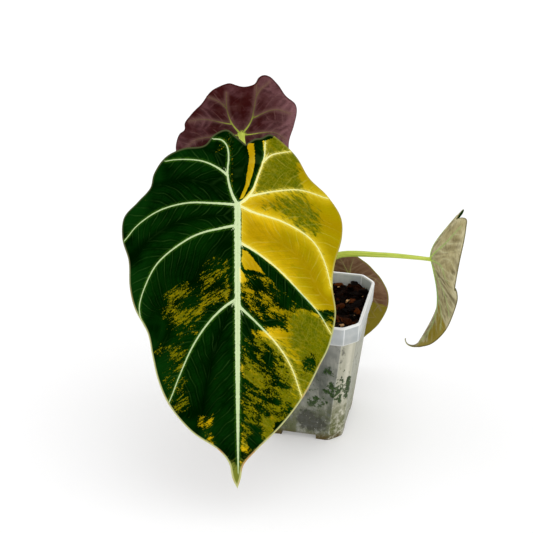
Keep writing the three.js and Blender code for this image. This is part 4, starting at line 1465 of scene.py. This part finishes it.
def plasticFinish():
    finish = Finish("clearPlastic", {"IOR": 1.46, "Specular IOR Level": 0.08})
    wall = finish.field("wall")
    across, along, height = finish.parts(wall)
    scuff = finish.noise(wall, (1.6, 1.6, 22.0), 3.0)
    cloud = finish.noise(wall, (11.0, 11.0, 15.0), 4.0)
    grime = finish.noise(wall, (3.0, 3.0, 3.6), 5.0, 0.65)
    fine = finish.noise(wall, (0.7, 0.7, 0.9), 3.0, 0.6)

    def spot(place, up, reach, rise):  # 1 at the middle of a soft patch on the front wall
        offX, offZ = (across - place) * (1 / reach), (height - up) * (1 / rise)
        return (offX * offX + offZ * offZ).rise(1.5, 0.0) * along.rise(-18.0, -24.0)

    collar = height.rise(potWall["collar"] - 0.4, potWall["collar"] + 0.4)
    aboveSoil = height.rise(potWall["soilLine"] - 2.0, potWall["soilLine"] + 1.5)
    low = height.rise(44.0, 6.0)
    # skew sets the side faces apart from the front and back faces, corner marks the corner faces
    skew = abs(across) - abs(along)
    corner = abs(skew).rise(7.6, 6.8)
    # painted highlight strip on the corner faces
    shine = abs(skew - 2.4).rise(4.0, 0.5)
    # painted highlight lines along the edges of the corner faces
    fold = abs(abs(skew) - 7.1).rise(0.8, 0.1)

    stain = spot(*potWall["stain"]) * 0.7 + (cloud - 0.5) * 2.4 + (grime - 0.5) * 1.6
    # painted highlight on the rim's top and along the collar's lower edge
    lipAndCollarHighlight = height.rise(81.3, 82.2) + abs(height - potWall["collar"]).rise(0.8, 0.2) * 0.8
    growth = sum((spot(*place) for place in potWall["algae"]), 0.0)
    algae = (grime * 0.8 + cloud * 0.2 + growth * 0.13).rise(0.57, 0.63)
    algae = algae * (height.rise(14.0, 30.0) * height.rise(64.0, 50.0))
    dots = (fine * 0.7 + grime * 0.3).rise(0.58, 0.64) * height.rise(66.0, 40.0)
    dirt = height.rise(6.0, 1.5) * grime.rise(0.3, 0.55)
    # the collar's colour, with painted shade and painted highlights on its facets
    band = finish.coats(
        tone(192, 198, 200),
        (cloud.rise(0.4, 0.6), tone(213, 215, 212)),
        # painted shade on the collar's corner faces
        (corner * 0.5, tone(168, 173, 172)),
        # painted highlight on the collar's edges
        (fold * 0.8, tone(242, 244, 243)),
    )
    colour = finish.coats(
        tone(92, 96, 88),
        (cloud.rise(0.35, 0.65), tone(150, 152, 141)),
        (height.rise(44.0, 70.0) * 0.5, tone(164, 164, 158)),
        (scuff.rise(0.54, 0.72) * 0.3, tone(198, 194, 178)),
        # painted light: the side faces and the corner faces are lighter than the front, with a painted
        # highlight strip on the corners
        (skew.rise(3.0, 9.0) * 0.7, tone(196, 195, 176)),
        (corner * 0.6, tone(206, 203, 178)),
        (shine * (0.7 + 0.3 * grime.rise(0.35, 0.6)), tone(216, 213, 194)),
        # painted highlight lines on the corner edges
        (fold * 0.4, tone(212, 212, 200)),
        (low * grime.rise(0.34, 0.56) * (0.7 + 0.3 * corner), tone(98, 102, 58)),
        (stain.rise(0.2, 0.7) * 0.8, tone(66, 66, 62)),
        (collar, band),
        # painted highlight on the rim's top and the collar's lower edge
        (lipAndCollarHighlight, tone(244, 245, 244)),
        (algae * 0.95, finish.blend(fine.rise(0.4, 0.6), tone(12, 36, 2), tone(48, 76, 18))),
        (dots * 0.75, tone(44, 66, 26)),
        (fine.rise(0.66, 0.72) * height.rise(36.0, 18.0), tone(236, 230, 208)),
        (dirt * 0.9, tone(84, 68, 30)),
    )
    alpha = 0.78 + 0.06 * scuff + 0.12 * aboveSoil + 0.14 * algae + 0.12 * dirt + 0.1 * low + 0.08 * corner
    return finish.shade({
        "Base Color": colour,
        "Alpha": alpha,
        "Roughness": 0.3 + 0.3 * grime,
        "Normal": finish.bump(fine * 0.05 + cloud * 0.5 + scuff * 0.05),
    })


def addPot():
    work = bmesh.new()
    work.from_mesh(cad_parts["pot"].data)
    bmesh.ops.remove_doubles(work, verts=work.verts, dist=1e-6)
    bmesh.ops.dissolve_limit(work, angle_limit=math.radians(1), verts=work.verts, edges=work.edges)
    limit = math.radians(potWall["roundAbove"])
    sharp = [edge for edge in work.edges if edge.is_manifold and edge.calc_face_angle() > limit]
    bmesh.ops.bevel(
        work, geom=sharp, offset=potWall["round"] * mm, offset_type="OFFSET",
        segments=potWall["segments"], profile=0.5, affect="EDGES", clamp_overlap=True,
    )
    bmesh.ops.triangulate(work, faces=[face for face in work.faces if len(face.verts) > 4])
    mesh = bpy.data.meshes.new("potShell")
    work.to_mesh(mesh)
    work.free()
    places = np.array([vertex.co[:] for vertex in mesh.vertices])
    own = turned((places - plantFoot) / mm, -potTurn)
    wall = mesh.attributes.new("wall", "FLOAT_VECTOR", "POINT")
    wall.data.foreach_set("vector", own.astype(np.float32).ravel())
    mesh.materials.append(plasticFinish())
    mesh.shade_smooth()
    mesh.set_sharp_from_angle(angle=math.radians(potWall["sharpAbove"]))
    placePiece(bpy.data.objects.new("potShell", mesh), "pot")


addPot()

# floor, light and camera

studio = {
    "floorHalf": 6.0,  # metres
    "worldLight": 1.0,
    "sunLight": 0.45,
    "floorGlow": 0.235,
    "sunSoftness": 55,  # degrees
    "sunFrom": [0.55, -0.25, 1.0],
    "cameraFrom": [-0.025, -0.627, 0.413],  # from the middle of the pot's foot
    "cameraTilt": 26.4,
    "focalPixels": 1206,
    "imagePixels": 533,  # the photograph's width
}


def floorFinish():
    finish = Finish("paleFloor", {
        "Specular IOR Level": 0.0,
        "Emission Color": (1, 1, 1, 1),
        "Emission Strength": studio["floorGlow"],
    })
    place = finish.node("TexCoord", {}, {}, output=3)
    cloud = finish.noise(place, (0.6, 0.6, 0.6), 2.0)
    fine = finish.noise(place, (0.002, 0.002, 0.002), 2.0)
    colour = finish.blend(cloud, (0.745, 0.745, 0.75, 1), (0.755, 0.755, 0.755, 1))
    return finish.shade({
        "Base Color": colour,
        "Roughness": 0.7 + 0.1 * fine,
        "Normal": finish.bump(fine * 0.02),
    })


def addStudio():
    half = studio["floorHalf"]
    mesh = bpy.data.meshes.new("floor")
    corners = [(-half, -half, 0), (half, -half, 0), (half, half, 0), (-half, half, 0)]
    mesh.from_pydata(corners, [], [(0, 1, 2, 3)])
    mesh.materials.append(floorFinish())
    floor = bpy.data.objects.new("floor", mesh)
    scene.collection.objects.link(floor)

    world = bpy.data.worlds.new("softRoom")
    world.use_nodes = True
    sky = world.node_tree.nodes["Background"]
    sky.inputs["Color"].default_value = (1, 1, 1, 1)
    sky.inputs["Strength"].default_value = studio["worldLight"]
    scene.world = world

    sun = bpy.data.lights.new("softKey", "SUN")
    sun.energy = studio["sunLight"]
    sun.angle = math.radians(studio["sunSoftness"])
    key = bpy.data.objects.new("softKey", sun)
    key.rotation_euler = Vector(studio["sunFrom"]).to_track_quat("Z", "Y").to_euler()
    scene.collection.objects.link(key)

    lens = bpy.data.cameras.new("camera")
    lens.sensor_width = 36
    lens.lens = studio["focalPixels"] * lens.sensor_width / studio["imagePixels"]
    lens.clip_start = 0.01
    camera = bpy.data.objects.new("camera", lens)
    camera.location = Vector(plantFoot) + Vector(studio["cameraFrom"])
    camera.rotation_euler = (math.radians(90 - studio["cameraTilt"]), 0, 0)
    scene.collection.objects.link(camera)
    scene.camera = camera
    scene.view_settings.view_transform = "Standard"
    print("studio ready")


addStudio()
